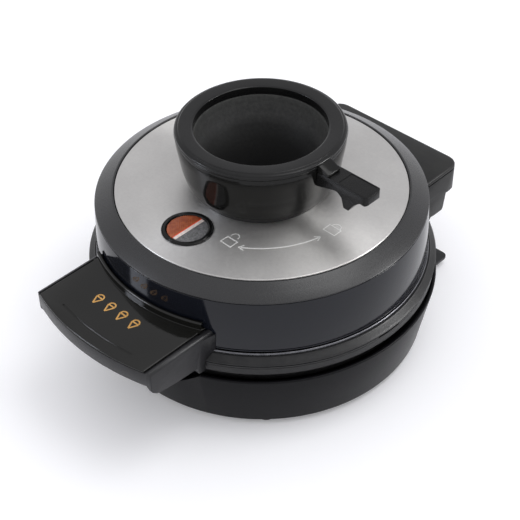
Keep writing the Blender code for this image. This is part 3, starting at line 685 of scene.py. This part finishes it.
def bottom_cover():
    low_z, high_z = low("bottom_cover", Z), high("bottom_cover", Z)
    reach = high("bottom_cover", Y) - AXIS_Y
    cover = turned("base_cover", [
        (0, low_z), (104.3, low_z, 0.6), (104.3, high_z, 0.5), (0, high_z)], GRAINED_BLACK)
    half = [(TONGUE_HALF, 60.0), (TONGUE_HALF, reach, 4.0)]
    join(cover, slab("tongue", half + mirrored(half), low_z, high_z, edge=0.5))
    grooves = []
    for i, radius in enumerate((96.0, 60.0, 24.0)):
        section = oblong(radius - 0.8, low_z - 1, radius + 0.8, low_z + 0.7)
        grooves.append(turned(f"groove_{i}", section, steps=96))
    for k in range(-4, 5):
        length = 34 - abs(k) * 3.5
        outline = oblong(k * 7 - 1.4, -length, k * 7 + 1.4, -8, 1.3)
        grooves.append(slab(f"vent_{k}", outline, 2, 9, matrix=at(0, -8)))
    for i in range(4):
        x, y = around(BOSS_CIRCLE, 45 + 90 * i)
        grooves.append(rod(f"hole_{i}", 1.9, 2, 9, at(x, y)))
        pan_screw(f"cover_screw_{i + 1}_fine", "base", f"cover_screw_{i + 1}", (3.4, 2.0),
                  at(x, y, 2.4), 18.6)
    cut(cover, *grooves)
    stands_for(cover, "base", "grained_black_plastic", "bottom_cover")


def feet():
    for i, name in enumerate(("rear_right", "rear_left", "front_left", "front_right")):
        foot = turned(f"rubber_foot_{name}", [
            (0, 4.4), (6.4, 4.4, 0.3), (6.5, 2.6, 0.2), (6.2, 2.2, 0.2), (6.4, 1.8, 0.2),
            (5.9, 0, 0.7), (3.2, 0, 0.3), (2.8, 0.7, 0.3), (0, 0.7)], RUBBER, 64,
            matrix=at(*around(FOOT_CIRCLE, 45 + 90 * i)))
        stands_for(foot, "base", "rubber", f"foot_{name}")


def waffle_face(name, level, direction, back_z):
    """The baking pattern: crossing ridges cut to a disc; direction is +1 up or -1 down."""
    depth = direction * RIDGE_HEIGHT
    face = lattice(name, 98.0, 8.4, 1.7, 0.8, level - depth, depth, back_z, spin=45)
    bottom, top = sorted((level + direction * 5, back_z - direction * 5))
    disc = turned("disc", [(0, top), (97.0, top), (97.0, bottom), (0, bottom)])
    return keep_inside(face, disc)


def lower_plate():
    top = high("lower_baking_plate", Z) - 1.2
    floor_z = low("lower_baking_plate", Z) + 8.2
    plate = turned("lower_waffle_plate", [
        (0, top - RIDGE_HEIGHT), (98.2, top - RIDGE_HEIGHT, 0.5), (98.8, top, 0.6),
        (105.4, top, 0.8),
        (107.6, PARTING - 0.2, 0.4), (112.2, PARTING - 0.2, 0.3), (112.3, 54.2, 0.2),
        (112.1, 49.8, 0.4), (109.9, 48.6, 0.4), (107.2, 40.8, 0.6), (105.2, 40.8, 0.4),
        (109.0, 50.4, 1.0), (106.0, floor_z, 0.8), (0, floor_z)], NON_STICK)
    join(plate, waffle_face("pattern", top, 1, top - 2.6))
    stands_for(plate, "base", "non_stick_coating", "lower_baking_plate")
    for i in range(3):
        post = turned(f"lower_stay_{i + 1}", [
            (0, DECK_TOP + 0.3), (3.5, DECK_TOP + 0.3, 0.3), (3.5, DECK_TOP + 2.2, 0.3),
            (2.8, DECK_TOP + 2.8, 0.2), (2.8, 46.0, 0.2), (3.5, 46.6, 0.3), (3.5, 48.7, 0.3),
            (0, 48.7)], PLAIN_STEEL, SMALL_STEPS, matrix=at(*around(96.5, 30 + 120 * i)))
        stands_for(post, "base", "plain_steel", f"lower_plate_post_{i + 1}")


def heater(name, node, body, height, tail):
    """Nearly a full turn of tubular heater with its ends bent to the terminals."""
    loop = [(x, y, height) for x, y in arc(68.0, 100, 440, 120)]
    first = [(loop[0][0] - 2, loop[0][1] + 9, tail), (loop[0][0] - 2, loop[0][1] + 6, height)]
    last = [(loop[-1][0] + 2, loop[-1][1] + 6, height), (loop[-1][0] + 2, loop[-1][1] + 9, tail)]
    ring = tube(name, first + loop + last, 3.15, HEATER)
    stands_for(ring, body, "heater_sheath", node)


def base_inside():
    heater("lower_heater_tube", "lower_heating_element", "base", 45.2, 39.0)
    tray = turned("lower_heat_tray", [
        (40.0, 34.8, 0.3), (86.0, 34.8, 2.0), (92.0, 46.0, 0.2), (92.8, 45.4, 0.2),
        (86.6, 34.0, 2.0), (40.0, 34.0, 0.3)], ALUMINIUM, 120)
    stands_for(tray, "base", "aluminium_sheet", "lower_reflector")
    stat = turned("thermostat_body", [
        (0, 48.7), (12.0, 48.7, 0.6), (12.0, 45.6, 0.3), (11.2, 45.2, 0.3), (11.2, 41.0, 0.6),
        (8.0, 38.0, 0.8), (0, 38.0)], CERAMIC, SMALL_STEPS, matrix=at(-22, 0))
    stands_for(stat, "base", "white_ceramic", "thermostat")
    fuse = turned("thermal_fuse_body", [
        (0, 0), (1.0, 0, 0.2), (1.0, 2.0), (2.2, 3.4, 0.5), (2.2, 20.6, 0.5), (1.0, 22.0),
        (1.0, 24.0, 0.2), (0, 24.0)], PLAIN_STEEL, 32, matrix=along_y(24, -12, 46.2))
    stands_for(fuse, "base", "plain_steel", "thermal_fuse")
    terminals = block("terminal_strip", (-14, 62, 10), (14, 78, 22), CERAMIC, 1.2)
    cut(terminals, *[rod(f"well_{i}", 2.2, 17, 25, at(x, 70), 24)
                     for i, x in enumerate((-8.5, 0, 8.5))])
    stands_for(terminals, "base", "white_ceramic", "terminal_block")
    for name, x in (("live", -6), ("neutral", 6)):
        route = [(x, 78.5, 16), (x, 84, 16), (x * 0.6, 92, 17), (x * 0.35, 100, GLAND_Z),
                 (x * 0.25, 104, GLAND_Z)]
        lead = tube(f"inner_lead_{name}", smooth_path(route), 1.2, RUBBER)
        stands_for(lead, "base", "rubber", f"supply_lead_{name}")
    sleeve = [(3.6, 0, 0.2), (6.2, 0, 0.4), (6.2, 6.8, 0.1), (8.6, 6.8, 0.4), (8.6, 9.0, 0.4),
              (7.6, 9.2, 0.2)]
    for i in range(4):
        r = 7.3 - 0.25 * i
        z = 9.8 + 1.6 * i
        sleeve += [(r, z, 0.2), (r, z + 0.8, 0.2), (r - 0.9, z + 0.9, 0.1), (r - 0.9, z + 1.5, 0.1)]
    sleeve += [(5.4, 16.0, 0.3), (3.6, 16.0, 0.3)]
    gland = turned("cord_inlet_sleeve", sleeve, RUBBER, 64, matrix=along_y(0, 104.8, GLAND_Z))
    stands_for(gland, "base", "rubber", "cord_gland")
    length = high("hinge_pin", X) - low("hinge_pin", X)
    pin = turned("hinge_pin_fine", [
        (0, 0), (2.1, 0, 0.3), (2.5, 0.7, 0.3), (2.5, length - 0.7, 0.3), (2.1, length, 0.3),
        (0, length)], PLAIN_STEEL, SMALL_STEPS,
        matrix=along_x(low("hinge_pin", X), HINGE_Y, HINGE_Z))
    stands_for(pin, "base", "plain_steel", "hinge_pin")


# ---- lid --------------------------------------------------------------------------------------
def lid_wall():
    wall = turned("lid_wall", [
        (COLLAR_BORE, 105.9, 0.2), (91.6, 105.9, 0.4), (92.4, 105.0, 0.3), (103.2, 98.5, 0.3),
        (104.0, 98.5, 0.2), (104.0, LID_RIM - 0.5, 0.2), (105.35, LID_RIM - 0.5, 0.35),
        (LID_RADIUS - 0.05, LID_FOOT + 1.7, 0.1), (LID_RADIUS - 0.75, LID_FOOT + 1.6, 0.1),
        (LID_RADIUS - 0.75, LID_FOOT + 1.15, 0.1), (LID_RADIUS, LID_FOOT + 1.0, 0.3),
        (LID_RADIUS, LID_FOOT, 0.5), (105.0, LID_FOOT, 0.5), (102.6, 96.0, 1.0),
        (90.8, 102.9, 0.5), (90.0, 103.4, 0.3), (COLLAR_BORE, 103.4, 0.2)], GLOSS_BLACK)
    holes = [rod("lamp_hole", LAMP_BORE, 95, 115, at(0, LAMP_Y))]
    for x, y, z in ((HANDLE_SCREW_X, -125, HANDLE_SCREW_Z), (HINGE_SCREW_X, 85, HINGE_SCREW_Z)):
        for side in (-1, 1):
            holes.append(rod("screw_hole", SCREW_HOLE, 0, 40, along_y(side * x, y, z), 24))
    cut(wall, *holes)
    stands_for(wall, "lid", "gloss_black_plastic", "lid_shell")


def lid_top():
    ring = turned("lid_slope_ring", [
        (PLATE_RADIUS + 0.45, PLATE_TOP + 0.1, 0.3), (94.0, PLATE_TOP + 0.15, 0.5),
        (99.0, 104.15, 30.0), (105.3, LID_RIM + 0.5, 0.45), (105.3, LID_RIM - 0.15, 0.25),
        (103.8, LID_RIM - 0.2, 0.1), (103.8, 98.9, 0.1), (103.2, 98.9, 0.1),
        (PLATE_RADIUS + 0.4, 105.0, 0.1)], SATIN_BLACK)
    stands_for(ring, "lid", "satin_black_plastic", "lid_top_ring")
    plate = turned("brushed_top_plate", [
        (COLLAR_BORE, PLATE_TOP - 0.05, 0.3), (90.6, PLATE_TOP - 0.05), (91.3, PLATE_TOP, 0.5),
        (92.2, PLATE_TOP - 0.05, 0.4), (PLATE_RADIUS, 106.2, 0.2), (COLLAR_BORE, 106.2, 0.2)],
        STEEL)
    cut(plate, rod("bezel_hole", LAMP_BORE, 100, 115, at(0, LAMP_Y)))
    stands_for(plate, "lid", "brushed_steel", "steel_top_plate")


def stroke(name, points, width, base_z, height, mat):
    """A raised line of constant width along an open path."""
    left, right = [], []
    for i, here in enumerate(points):
        before = Vector(points[max(i - 1, 0)])
        after = Vector(points[min(i + 1, len(points) - 1)])
        along = (after - before).normalized()
        side = Vector((-along.y, along.x)) * width / 2
        left.append(tuple(Vector(here) + side))
        right.append(tuple(Vector(here) - side))
    return slab(name, left + right[::-1], base_z, base_z + height, mat)


def etched(name, points, width):
    """A raised line on the steel plate."""
    return stroke(name, points, width, PLATE_TOP - 0.02, 0.07, ETCHED)


def padlock(prefix, corner, width, depth, shackle_left, shackle_right, rise, lift):
    """Outline of a padlock: a body and a bow; lift raises the bow of the open one."""
    x0, y0 = corner
    x1, y1 = x0 + width, y0 + depth
    line = 0.62
    body = oblong(x0, y0, x1, y1)
    pieces = []
    for i, (a, b) in enumerate(zip(body, body[1:] + body[:1])):
        along = (Vector(b) - Vector(a)).normalized() * line / 2
        pieces.append(etched(f"{prefix}_side_{i}", [Vector(a) - along, Vector(b) + along], line))
    radius = (shackle_right - shackle_left) / 2
    middle = (shackle_left + shackle_right) / 2
    bow_y = y1 + lift + rise
    bow = [(shackle_left, y1 + lift)] + arc(radius, 180, 0, 16, (middle, bow_y)) + [
        (shackle_right, y1 if not lift else bow_y - 0.6)]
    pieces.append(etched(f"{prefix}_bow", bow, line))
    return pieces


def markings():
    """Etched padlocks and the double arrow that show which way the bowl turns."""
    pieces = padlock("open", (22.4, -58.1), 8.1, 6.0, 23.4, 28.4, 1.2, 1.6)
    pieces += padlock("closed", (59.4, -8.4), 8.8, 6.0, 61.0, 67.0, 0.4, 0.0)
    radius = 64.6
    pieces.append(etched("arrow_arc", arc(radius, -57.0, -14.4, 48), 0.85))
    for angle, way in ((-58.3, 1), (-13.2, -1)):
        tip = Vector(around(radius, angle))
        for spread in (-1, 1):
            wing = Vector(around(radius + spread * 2.2, angle + way * 3.0))
            pieces.append(etched(f"arrow_{way}_{spread}", [tip, wing], 0.65))
    group = join(pieces[0], *pieces[1:])
    group.name = "twist_markings"
    stands_for(group, "lid", "brushed_steel")


def indicator():
    where = at(0, LAMP_Y)
    radius = high("indicator_lens_orange", Y) - AXIS_Y - LAMP_Y
    bezel = turned("lamp_bezel", [
        (radius + 0.2, 107.6, 0.2), (radius + 0.9, 108.1, 0.5), (BEZEL_RADIUS - 1.5, 108.0, 0.4),
        (BEZEL_RADIUS - 1.3, 107.7, 0.1), (BEZEL_RADIUS - 0.9, 107.9, 0.3),
        (BEZEL_RADIUS, 107.3, 0.2), (radius + 0.8, 107.3), (radius + 0.8, 99.0, 0.2),
        (radius + 0.2, 99.0, 0.2)], BEZEL_BLACK, 96, matrix=where)
    stands_for(bezel, "lid", "gloss_black_plastic", "indicator_bezel")
    divider = 1.2
    for side, name, mat, slot in ((-1, "orange", ORANGE, "orange_lens"),
                                  (1, "clear", CLEAR, "clear_lens")):
        edge = divider + side * (1.2 if side > 0 else 1.9)
        reach = degrees(acos(edge / radius))
        ends = (reach, 360 - reach) if side < 0 else (-reach, reach)
        lens = lattice(f"lens_{name}", 13.5, 1.3, 0.35, 0.45, LENS_TOP - 0.22, 0.2, 104.6, mat,
                       spin=0 if side > 0 else 45)
        keep_inside(lens, slab("half", arc(radius, *ends, 40), 100, 112))
        lens.location = (0, (AXIS_Y + LAMP_Y) * MM, 0)
        stands_for(lens, "lid", slot, f"indicator_lens_{name}")
    reach = (radius ** 2 - (divider + 1.2) ** 2) ** 0.5 - 0.2
    strip = slab("lens_divider", oblong(divider - 1.1, -reach, divider + 1.1, reach), 104.6,
                 LENS_TOP + 0.15, STRIP, edge=0.12, matrix=where)
    stands_for(strip, "lid", "clear_lens")
    edge_strip = slab("lens_divider_edge", oblong(divider - 1.85, -reach, divider - 1.12, reach),
                      104.6, LENS_TOP + 0.1, RED_EDGE, matrix=where)
    stands_for(edge_strip, "lid", "orange_lens")
    for node, x in (("neon_lamp_heating", -4.6), ("neon_lamp_ready", 5.0)):
        bulb = turned(node + "_bulb", [
            (0, 0), (1.4, 0, 0.2), (2.2, 1.6, 0.6), (2.2, 10.2, 0.9), (0.6, 11.6, 0.4),
            (0, 12.0)], GLASS, SMALL_STEPS, matrix=along_y(x, LAMP_Y - 6, 101.6))
        stands_for(bulb, "lid", "neon_glass", node)
    holder = block("lamp_holder_block", (-8.4, LAMP_Y - 5, 94), (8.8, LAMP_Y + 5, 99), CERAMIC,
                   0.7)
    cut(holder, *[rod(f"cradle_{x}", 2.5, 0, 14, along_y(x, LAMP_Y - 7, 100.4), 32)
                  for x in (-4.6, 5.0)])
    stands_for(holder, "lid", "white_ceramic", "lamp_holder")


def upper_plate():
    level = 56.4
    top = high("upper_baking_plate", Z)
    plate = turned("upper_waffle_plate", [
        (0, 61.4), (98.6, 61.4, 0.4), (99.6, top, 0.5), (103.6, top, 0.5), (104.2, 61.6, 0.5),
        (107.9, 61.3), (108.1, 60.9), (108.5, 60.9), (108.7, 61.3, 0.2), (109.4, 60.6, 0.3),
        (112.0, 58.8, 0.6), (FLANGE_RADIUS, 58.0, 0.2), (FLANGE_RADIUS - 0.1, 57.4, 0.1),
        (FLANGE_RADIUS - 1.0, 57.2, 0.1), (FLANGE_RADIUS - 1.0, 56.6, 0.1),
        (FLANGE_RADIUS - 0.3, 56.4, 0.2), (FLANGE_RADIUS - 0.5, PARTING + 0.25, 0.2),
        (107.6, PARTING + 0.25, 0.4), (105.4, level, 0.8), (98.8, level, 0.6),
        (98.2, level + RIDGE_HEIGHT, 0.5), (0, level + RIDGE_HEIGHT)], NON_STICK)
    join(plate, waffle_face("pattern_down", level, -1, level + 2.6))
    slot = [(108.4, -15, 1.0), (118, -15), (118, 2.5), (108.4, 2.5, 1.0)]
    cut(plate, slab("pry_slot", slot, 50, 57.0))
    stands_for(plate, "lid", "non_stick_coating", "upper_baking_plate")
    bead = turned("upper_plate_bead", [
        (106.8, 61.2), (106.8, 62.9, 0.3), (107.9, 62.9, 0.55), (107.9, 61.2)], BARE_EDGE)
    stands_for(bead, "lid", "plain_steel")
    heater("upper_heater_tube", "upper_heating_element", "lid", 65.2, 71.0)
    tray = turned("upper_heat_tray", [
        (30.0, 76.4, 0.3), (88.0, 76.4, 2.0), (95.6, 64.4, 0.2), (94.8, 64.0, 0.2),
        (87.6, 75.6, 2.0), (30.0, 75.6, 0.3)], ALUMINIUM, 120)
    stands_for(tray, "lid", "aluminium_sheet", "upper_reflector")
    for i in range(3):
        post = turned(f"upper_stay_{i + 1}", [
            (0, 66.3), (2.6, 66.3, 0.3), (2.6, 68.3, 0.3), (2.1, 68.8, 0.2), (2.1, 93.0, 0.2),
            (2.6, 93.6, 0.3), (2.6, 95.6, 0.3), (0, 95.6)], PLAIN_STEEL, SMALL_STEPS,
            matrix=at(*around(99.0, 90 + 120 * i)))
        stands_for(post, "lid", "plain_steel", f"upper_plate_post_{i + 1}")


def lid_envelope(margin=0.3):
    """The round lid and its baking plate with a margin: cut away from what fits around it."""
    return turned("lid_envelope", [
        (0, 120), (105.3 + margin, 120), (105.3 + margin, LID_RIM), (LID_RADIUS + margin, LID_FOOT),
        (109.4, 62.0), (FLANGE_RADIUS + 0.5, 58.4), (FLANGE_RADIUS + 0.5, 20), (0, 20)])


def handle_outline(half_width, inset, inner, flare=0.0, corner=0.0):
    """Plan outline: parallel sides, a bowed front and a rear end inside the lid's radius."""
    front = HANDLE_ARC - inset
    centre = HANDLE_ARC - HANDLE_REACH
    reach = degrees(asin(half_width / front))
    bow = arc(front, -90 + reach, -90, 24, (0, centre))[:-1]
    half = [(half_width + flare, -inner)]
    if flare:
        half += [(half_width + flare * 0.9, -inner - 9), (half_width + flare * 0.35, -inner - 13),
                 (half_width, -inner - 19)]
    half += [(*bow[0], corner)] if corner else [bow[0]]
    half += bow[2 if corner else 1:]
    return half + [(0, centre - front)] + mirrored(half)


def handle():
    inside = HANDLE_HALF - HANDLE_WALL
    top = high("handle_frame", Z)
    frame_piece = slab("handle_body", handle_outline(HANDLE_HALF, 0, 85, 1.8, 0.8), 46.0, top,
                       GRAINED_BLACK)
    below = [(-160, 30), (-60, 30), (-60, 50.4), (-106.2, 50.4, 0.5), (-107.4, 55.8, 0.8),
             (-123.4, 56.8, 20), (-136.0, 58.7, 3), (-139.2, 59.8, 2), (-142.2, 62.6, 0.8),
             (-143.6, 66.8), (-160, 66.8)]
    cut(frame_piece, slab("underside", below, -60, 60, normal="X"),
        slab("hollow", handle_outline(inside, 3.0, 112), 40, 74.6),
        slab("skirt", oblong(-inside, -160, inside, -130), 40, 66.8))
    cut(frame_piece, slab("seat", handle_outline(inside, -2, 80), 76.7, 90), lid_envelope())
    cut(frame_piece, *[rod(f"thread_{x}", SCREW_HOLE, 0, 21, along_y(x, -116, HANDLE_SCREW_Z), 24)
                       for x in (-HANDLE_SCREW_X, HANDLE_SCREW_X)])
    bend = 2.5
    side, rise = HANDLE_HALF - bend, top - bend
    shoulder = [(HANDLE_HALF + 3, rise)] + arc(bend, 0, 90, 8, (side, rise)) + [
        (side, top + 2), (HANDLE_HALF + 3, top + 2)]
    for name, outline in (("right", shoulder), ("left", mirrored(shoulder))):
        cut(frame_piece, slab("shoulder_" + name, outline, -160, -80, normal="Y"))
    soften(frame_piece, 0.3)
    stands_for(frame_piece, "lid", "grained_black_plastic", "handle_frame")

    half = inside - 1.3
    plate = slab("handle_cap", handle_outline(half, 0, 80, 0, 1.0), 76.9, HANDLE_TOP,
                 HANDLE_BLACK, edge=0.6, segments=4)
    reach = degrees(asin((half - 0.4) / 108.6))
    lip = turned("lip", [
        (107.0, 77.6), (107.0, LIP_TOP, 0.7), (109.2, LIP_TOP, 1.1), (109.2, HANDLE_TOP, 0.3),
        (112.0, HANDLE_TOP - 0.05), (112.0, 77.6)], steps=72, start=-90 - reach,
        sweep=2 * reach)
    join(plate, lip)
    groove = tube("engraved_arc", [(x, y, HANDLE_TOP + 0.15)
                                   for x, y in arc(HANDLE_ARC + 14, -99.6, -79.4, 40,
                                                   (0, HANDLE_ARC + 14 - 142.4))], 0.55,
                  HANDLE_BLACK)
    cut(plate, lid_envelope(), groove)
    stands_for(plate, "lid", "satin_black_plastic", "handle_top_plate")
    for side_name, x in (("left", -HANDLE_SCREW_X), ("right", HANDLE_SCREW_X)):
        node = f"handle_screw_{side_name}"
        place = along_y(x, 0, HANDLE_SCREW_Z) @ at(0, 0, -96.5) @ Matrix.Rotation(pi, 4, "X")
        pan_screw(node + "_fine", "lid", node, (2.0, 1.6), place, 19.0, 1.9)


def emblem():
    """Four plain gold cones in a row, printed on the handle."""
    first, spacing, y = -17.6, 10.6, -126.6
    pieces = []
    for i in range(4):
        x = first + i * spacing
        side = [(x, y - 0.2), (x - 2.6, y + 5.4), (x + 2.6, y + 5.4), (x, y - 0.2)]
        lines = list(zip(side, side[1:])) + [arc(2.4, 180, 0, 14, (x, y + 5.6))]
        for line in lines:
            pieces.append(stroke(f"cone_{i}", line, 1.0, HANDLE_TOP - 0.03, 0.06, GOLD))
    mark = join(pieces[0], *pieces[1:])
    mark.name = "gold_cone_marks"
    stands_for(mark, "lid", "gold_print")


def hinge_cover():
    half, wall = HINGE_HALF, 2.6
    outer = [(half, 80.0), (half, HINGE_REACH, 9.0)]
    inner = [(half - wall, 70.0), (half - wall, HINGE_REACH - wall, 6.4)]
    cover = slab("hinge_hood", outer + mirrored(outer), 50.0, HINGE_TOP, HINGE_BLACK, edge=2.0,
                 segments=5)
    cut(cover, slab("below", oblong(70, 30, 160, 56.6), -60, 60, normal="X"),
        slab("hollow", inner + mirrored(inner), 40, HINGE_TOP - wall))
    ear = [(96.0, 60.0), (96.0, 46.0), (113.0, 43.4, 1.0), (122.5, 43.4, 2.0), (124.8, 57.5),
           (124.8, 60.0)]
    arm = [(HINGE_Y + 6.5, 75.5), (HINGE_Y - 5.5, 75.5)] + arc(
        6.0, 180, 360, 20, (HINGE_Y, HINGE_Z))
    added = []
    for side in (-1, 1):
        bottom, top = sorted((side * (half - wall - 1.0), side * half))
        added.append(slab(f"ear_{side}", ear, bottom, top, normal="X"))
        bottom, top = sorted((side * 24.0, side * 34.9))
        added.append(slab(f"arm_{side}", arm, bottom, top, normal="X"))
    added.append(slab("mount_wall", oblong(-half + 1, 85, half - 1, 109.6), 57.0, 75.0))
    join(cover, *added)
    grooves = []
    for side in (-1, 1):
        bottom, top = sorted((side * (half - 0.7), side * (half + 2)))
        grooves.append(slab(f"side_groove_{side}", oblong(70, 72.9, HINGE_REACH - 4, 74.1),
                            bottom, top, normal="X"))
    bore = rod("bore", 2.8, -60, 52.4, along_x(0, HINGE_Y, HINGE_Z))
    threads = [rod(f"hole_{x}", SCREW_HOLE, 0, 14, along_y(x, 95, HINGE_SCREW_Z), 24)
               for x in (-HINGE_SCREW_X, HINGE_SCREW_X)]
    cut(cover, lid_envelope(), bore, *grooves, *threads)
    soften(cover, 0.3)
    stands_for(cover, "lid", "grained_black_plastic", "hinge_cover")
    for side_name, x in (("left", -HINGE_SCREW_X), ("right", HINGE_SCREW_X)):
        node = f"hinge_screw_{side_name}"
        pan_screw(node + "_fine", "lid", node, (2.0, 1.6), along_y(x, 96.0, HINGE_SCREW_Z),
                  12.4, 1.9)


def sector(inner, outer, middle, width):
    """Outline of a ring sector centred on an angle."""
    first, last = middle - width / 2, middle + width / 2
    return arc(outer, first, last, 12) + arc(inner, last, first, 12)


def bayonet():
    ring = turned("bayonet_seat", [
        (41.4, 110.8, 0.6), (41.4, 107.3, 0.2), (36.3, 107.3), (36.3, 97.0, 0.3),
        (34.2, 97.0, 0.3), (34.2, 104.0, 0.2), (30.6, 104.0, 0.3), (30.6, 110.8, 0.4)],
        SATIN_BLACK)
    cut(ring, *[slab(f"slot_{i}", sector(28.0, 33.9, -60 + 120 * i, 44), 103.5, 112)
                for i in range(3)])
    stands_for(ring, "lid", "satin_black_plastic", "bayonet_ring")


# ---- forming bowl -------------------------------------------------------------------------------
def bowl_screw_holes():
    return [rod(f"hole_{i}", 1.9, 96, 113.9, at(*around(19.0, 60 + 120 * i)), 24)
            for i in range(3)]


def bowl():
    shell = turned("bowl_body", [
        (52.5, 147.2, 0.3), (52.35, 141.5, 30), (51.4, 135.6, 40), (49.6, 124.0, 40),
        (47.7, 117.0, 20), (45.9, 113.0, 3.0), (43.9, BOWL_FLOOR, 0.6), (0, BOWL_FLOOR),
        (0, 113.6), (43.0, 113.6, 2.0), (45.5, 118.0, 10), (47.3, 124.4, 20), (49.0, 135.8, 20),
        (49.9, 141.0, 10), (50.1, 147.2, 0.3)], BOWL_BLACK)
    cut(shell, *bowl_screw_holes())
    stands_for(shell, "bowl", "satin_black_plastic", "bowl_shell")
    rim = turned("bowl_rim", [
        (41.3, 150.3, 0.35), (42.4, 150.75, 1.0), (49.9, BOWL_TOP, 3.0),
        (50.5, BOWL_TOP - 0.55, 0.2), (51.5, BOWL_TOP - 0.7, 0.7), (52.6, 149.7, 0.8),
        (BOWL_RADIUS - 0.25, 148.7, 0.15),
        (BOWL_RADIUS, 148.4, 0.3), (BOWL_RADIUS, 147.55, 0.3), (49.6, 147.55), (49.6, 145.2, 0.2),
        (41.3, 145.2, 0.3)], RIM_BLACK)
    stands_for(rim, "bowl", "satin_black_plastic", "bowl_rim_ring")
    liner = turned("bowl_liner_pressing", [
        (40.9, 144.8, 0.3), (40.3, 140.2, 10), (38.2, 133.2, 20), (33.2, 125.6, 25),
        (24.0, 119.2, 30), (11.0, 116.2, 30), (0, 115.8), (0, 114.6), (11.2, 115.0, 30),
        (24.6, 118.1, 30), (34.2, 124.8, 25), (39.4, 132.7, 20), (41.5, 139.9, 5),
        (42.1, 143.6, 0.5), (47.0, 143.6, 0.3), (47.0, 144.8, 0.3)], LINER)
    stands_for(liner, "bowl", "non_stick_coating", "bowl_liner")
    collar = turned("bowl_bayonet_collar", [
        (29.9, 111.0, 0.3), (29.9, 98.2, 0.4), (27.2, 98.2, 0.4), (27.2, 108.0, 0.3),
        (9.0, 108.0, 0.3), (9.0, 111.0, 0.3)], SATIN_BLACK, 160)
    join(collar, *[slab(f"lug_{i}", sector(28.6, 33.5, 120 * i, 34), 98.6, 103.5, edge=0.4)
                   for i in range(3)])
    cut(collar, *bowl_screw_holes())
    stands_for(collar, "bowl", "satin_black_plastic", "bowl_collar")
    for i in range(3):
        pan_screw(f"bowl_screw_{i + 1}_fine", "bowl", f"bowl_screw_{i + 1}", (3.2, 2.1),
                  at(*around(19.0, 60 + 120 * i), 105.6), 7.4)


def lever():
    tip = LEVER_TIP
    side = [(50.0, LEVER_TOP), (tip, LEVER_TOP, 1.4), (tip, 139.4, 1.0),
            (tip - 2.0, 138.6, 0.8), (84.6, 138.8, 1.0), (80.6, 135.6, 2.5), (76.4, 129.3, 0.8),
            (72.6, 129.5, 0.8), (70.8, 136.0, 2.0), (67.0, 138.8, 4.0), (50.0, 134.0)]
    arm = slab("lever_arm", side, -7.0, 7.0, LEVER_BLACK, normal="Y", edge=1.1, segments=4)
    envelope = turned("bowl_clearance", [
        (0, 150), (53.2, 150), (53.2, 147.2), (52.7, 141.0), (51.8, 135.6), (50.2, 126.0),
        (0, 126)])
    pad = [(67.6, -5.9, 0.6), (tip - 1.6, -5.9, 2.0), (tip - 1.6, 5.9, 2.0), (67.6, 5.9, 0.6)]
    ledge = slab("thumb_pad", pad, LEVER_TOP - 0.35, LEVER_TOP + 1)
    plan = [(40.0, -7.0), (tip, -7.0, 3.4), (tip, 7.0, 3.4), (40.0, 7.0)]
    keep_inside(arm, slab("lever_plan", plan, 120, 155))
    cut(arm, envelope, ledge)
    soften(arm, 0.3, angle=60)
    stands_for(arm, "bowl", "satin_black_plastic", "lever")
    clip = [(51.0, 150.3, 0.6), (53.8, 150.1, 0.8), (58.6, 148.0, 2.0), (61.0, 147.0, 0.6),
            (61.0, 145.35, 0.2), (51.0, 145.35)]
    bridge = slab("rim_clip", clip, -7.0, 3.4, BOWL_BLACK, normal="Y", edge=0.7)
    cut(bridge, turned("rim_clearance", [(0, 152), (53.3, 152), (53.3, 140), (0, 140)]))
    stands_for(bridge, "bowl", "gloss_black_plastic", "lever_clip")


add_camera()
studio_world()
floor()
soft_light("key_soft_box", (0.5, 0.5, 1.9), 1.0, 9)
soft_light("left_soft_box", (-0.95, -1.18, 0.96), 0.40, 10, (0.85, 0.89, 1.0), rim_only=True)
soft_light("right_soft_box", (1.18, 0.96, 0.95), 0.45, 18, rim_only=True)
base_wall()
base_deck()
hinge_brackets()
bottom_cover()
feet()
lower_plate()
base_inside()
lid_wall()
lid_top()
markings()
indicator()
upper_plate()
handle()
emblem()
hinge_cover()
bayonet()
bowl()
lever()
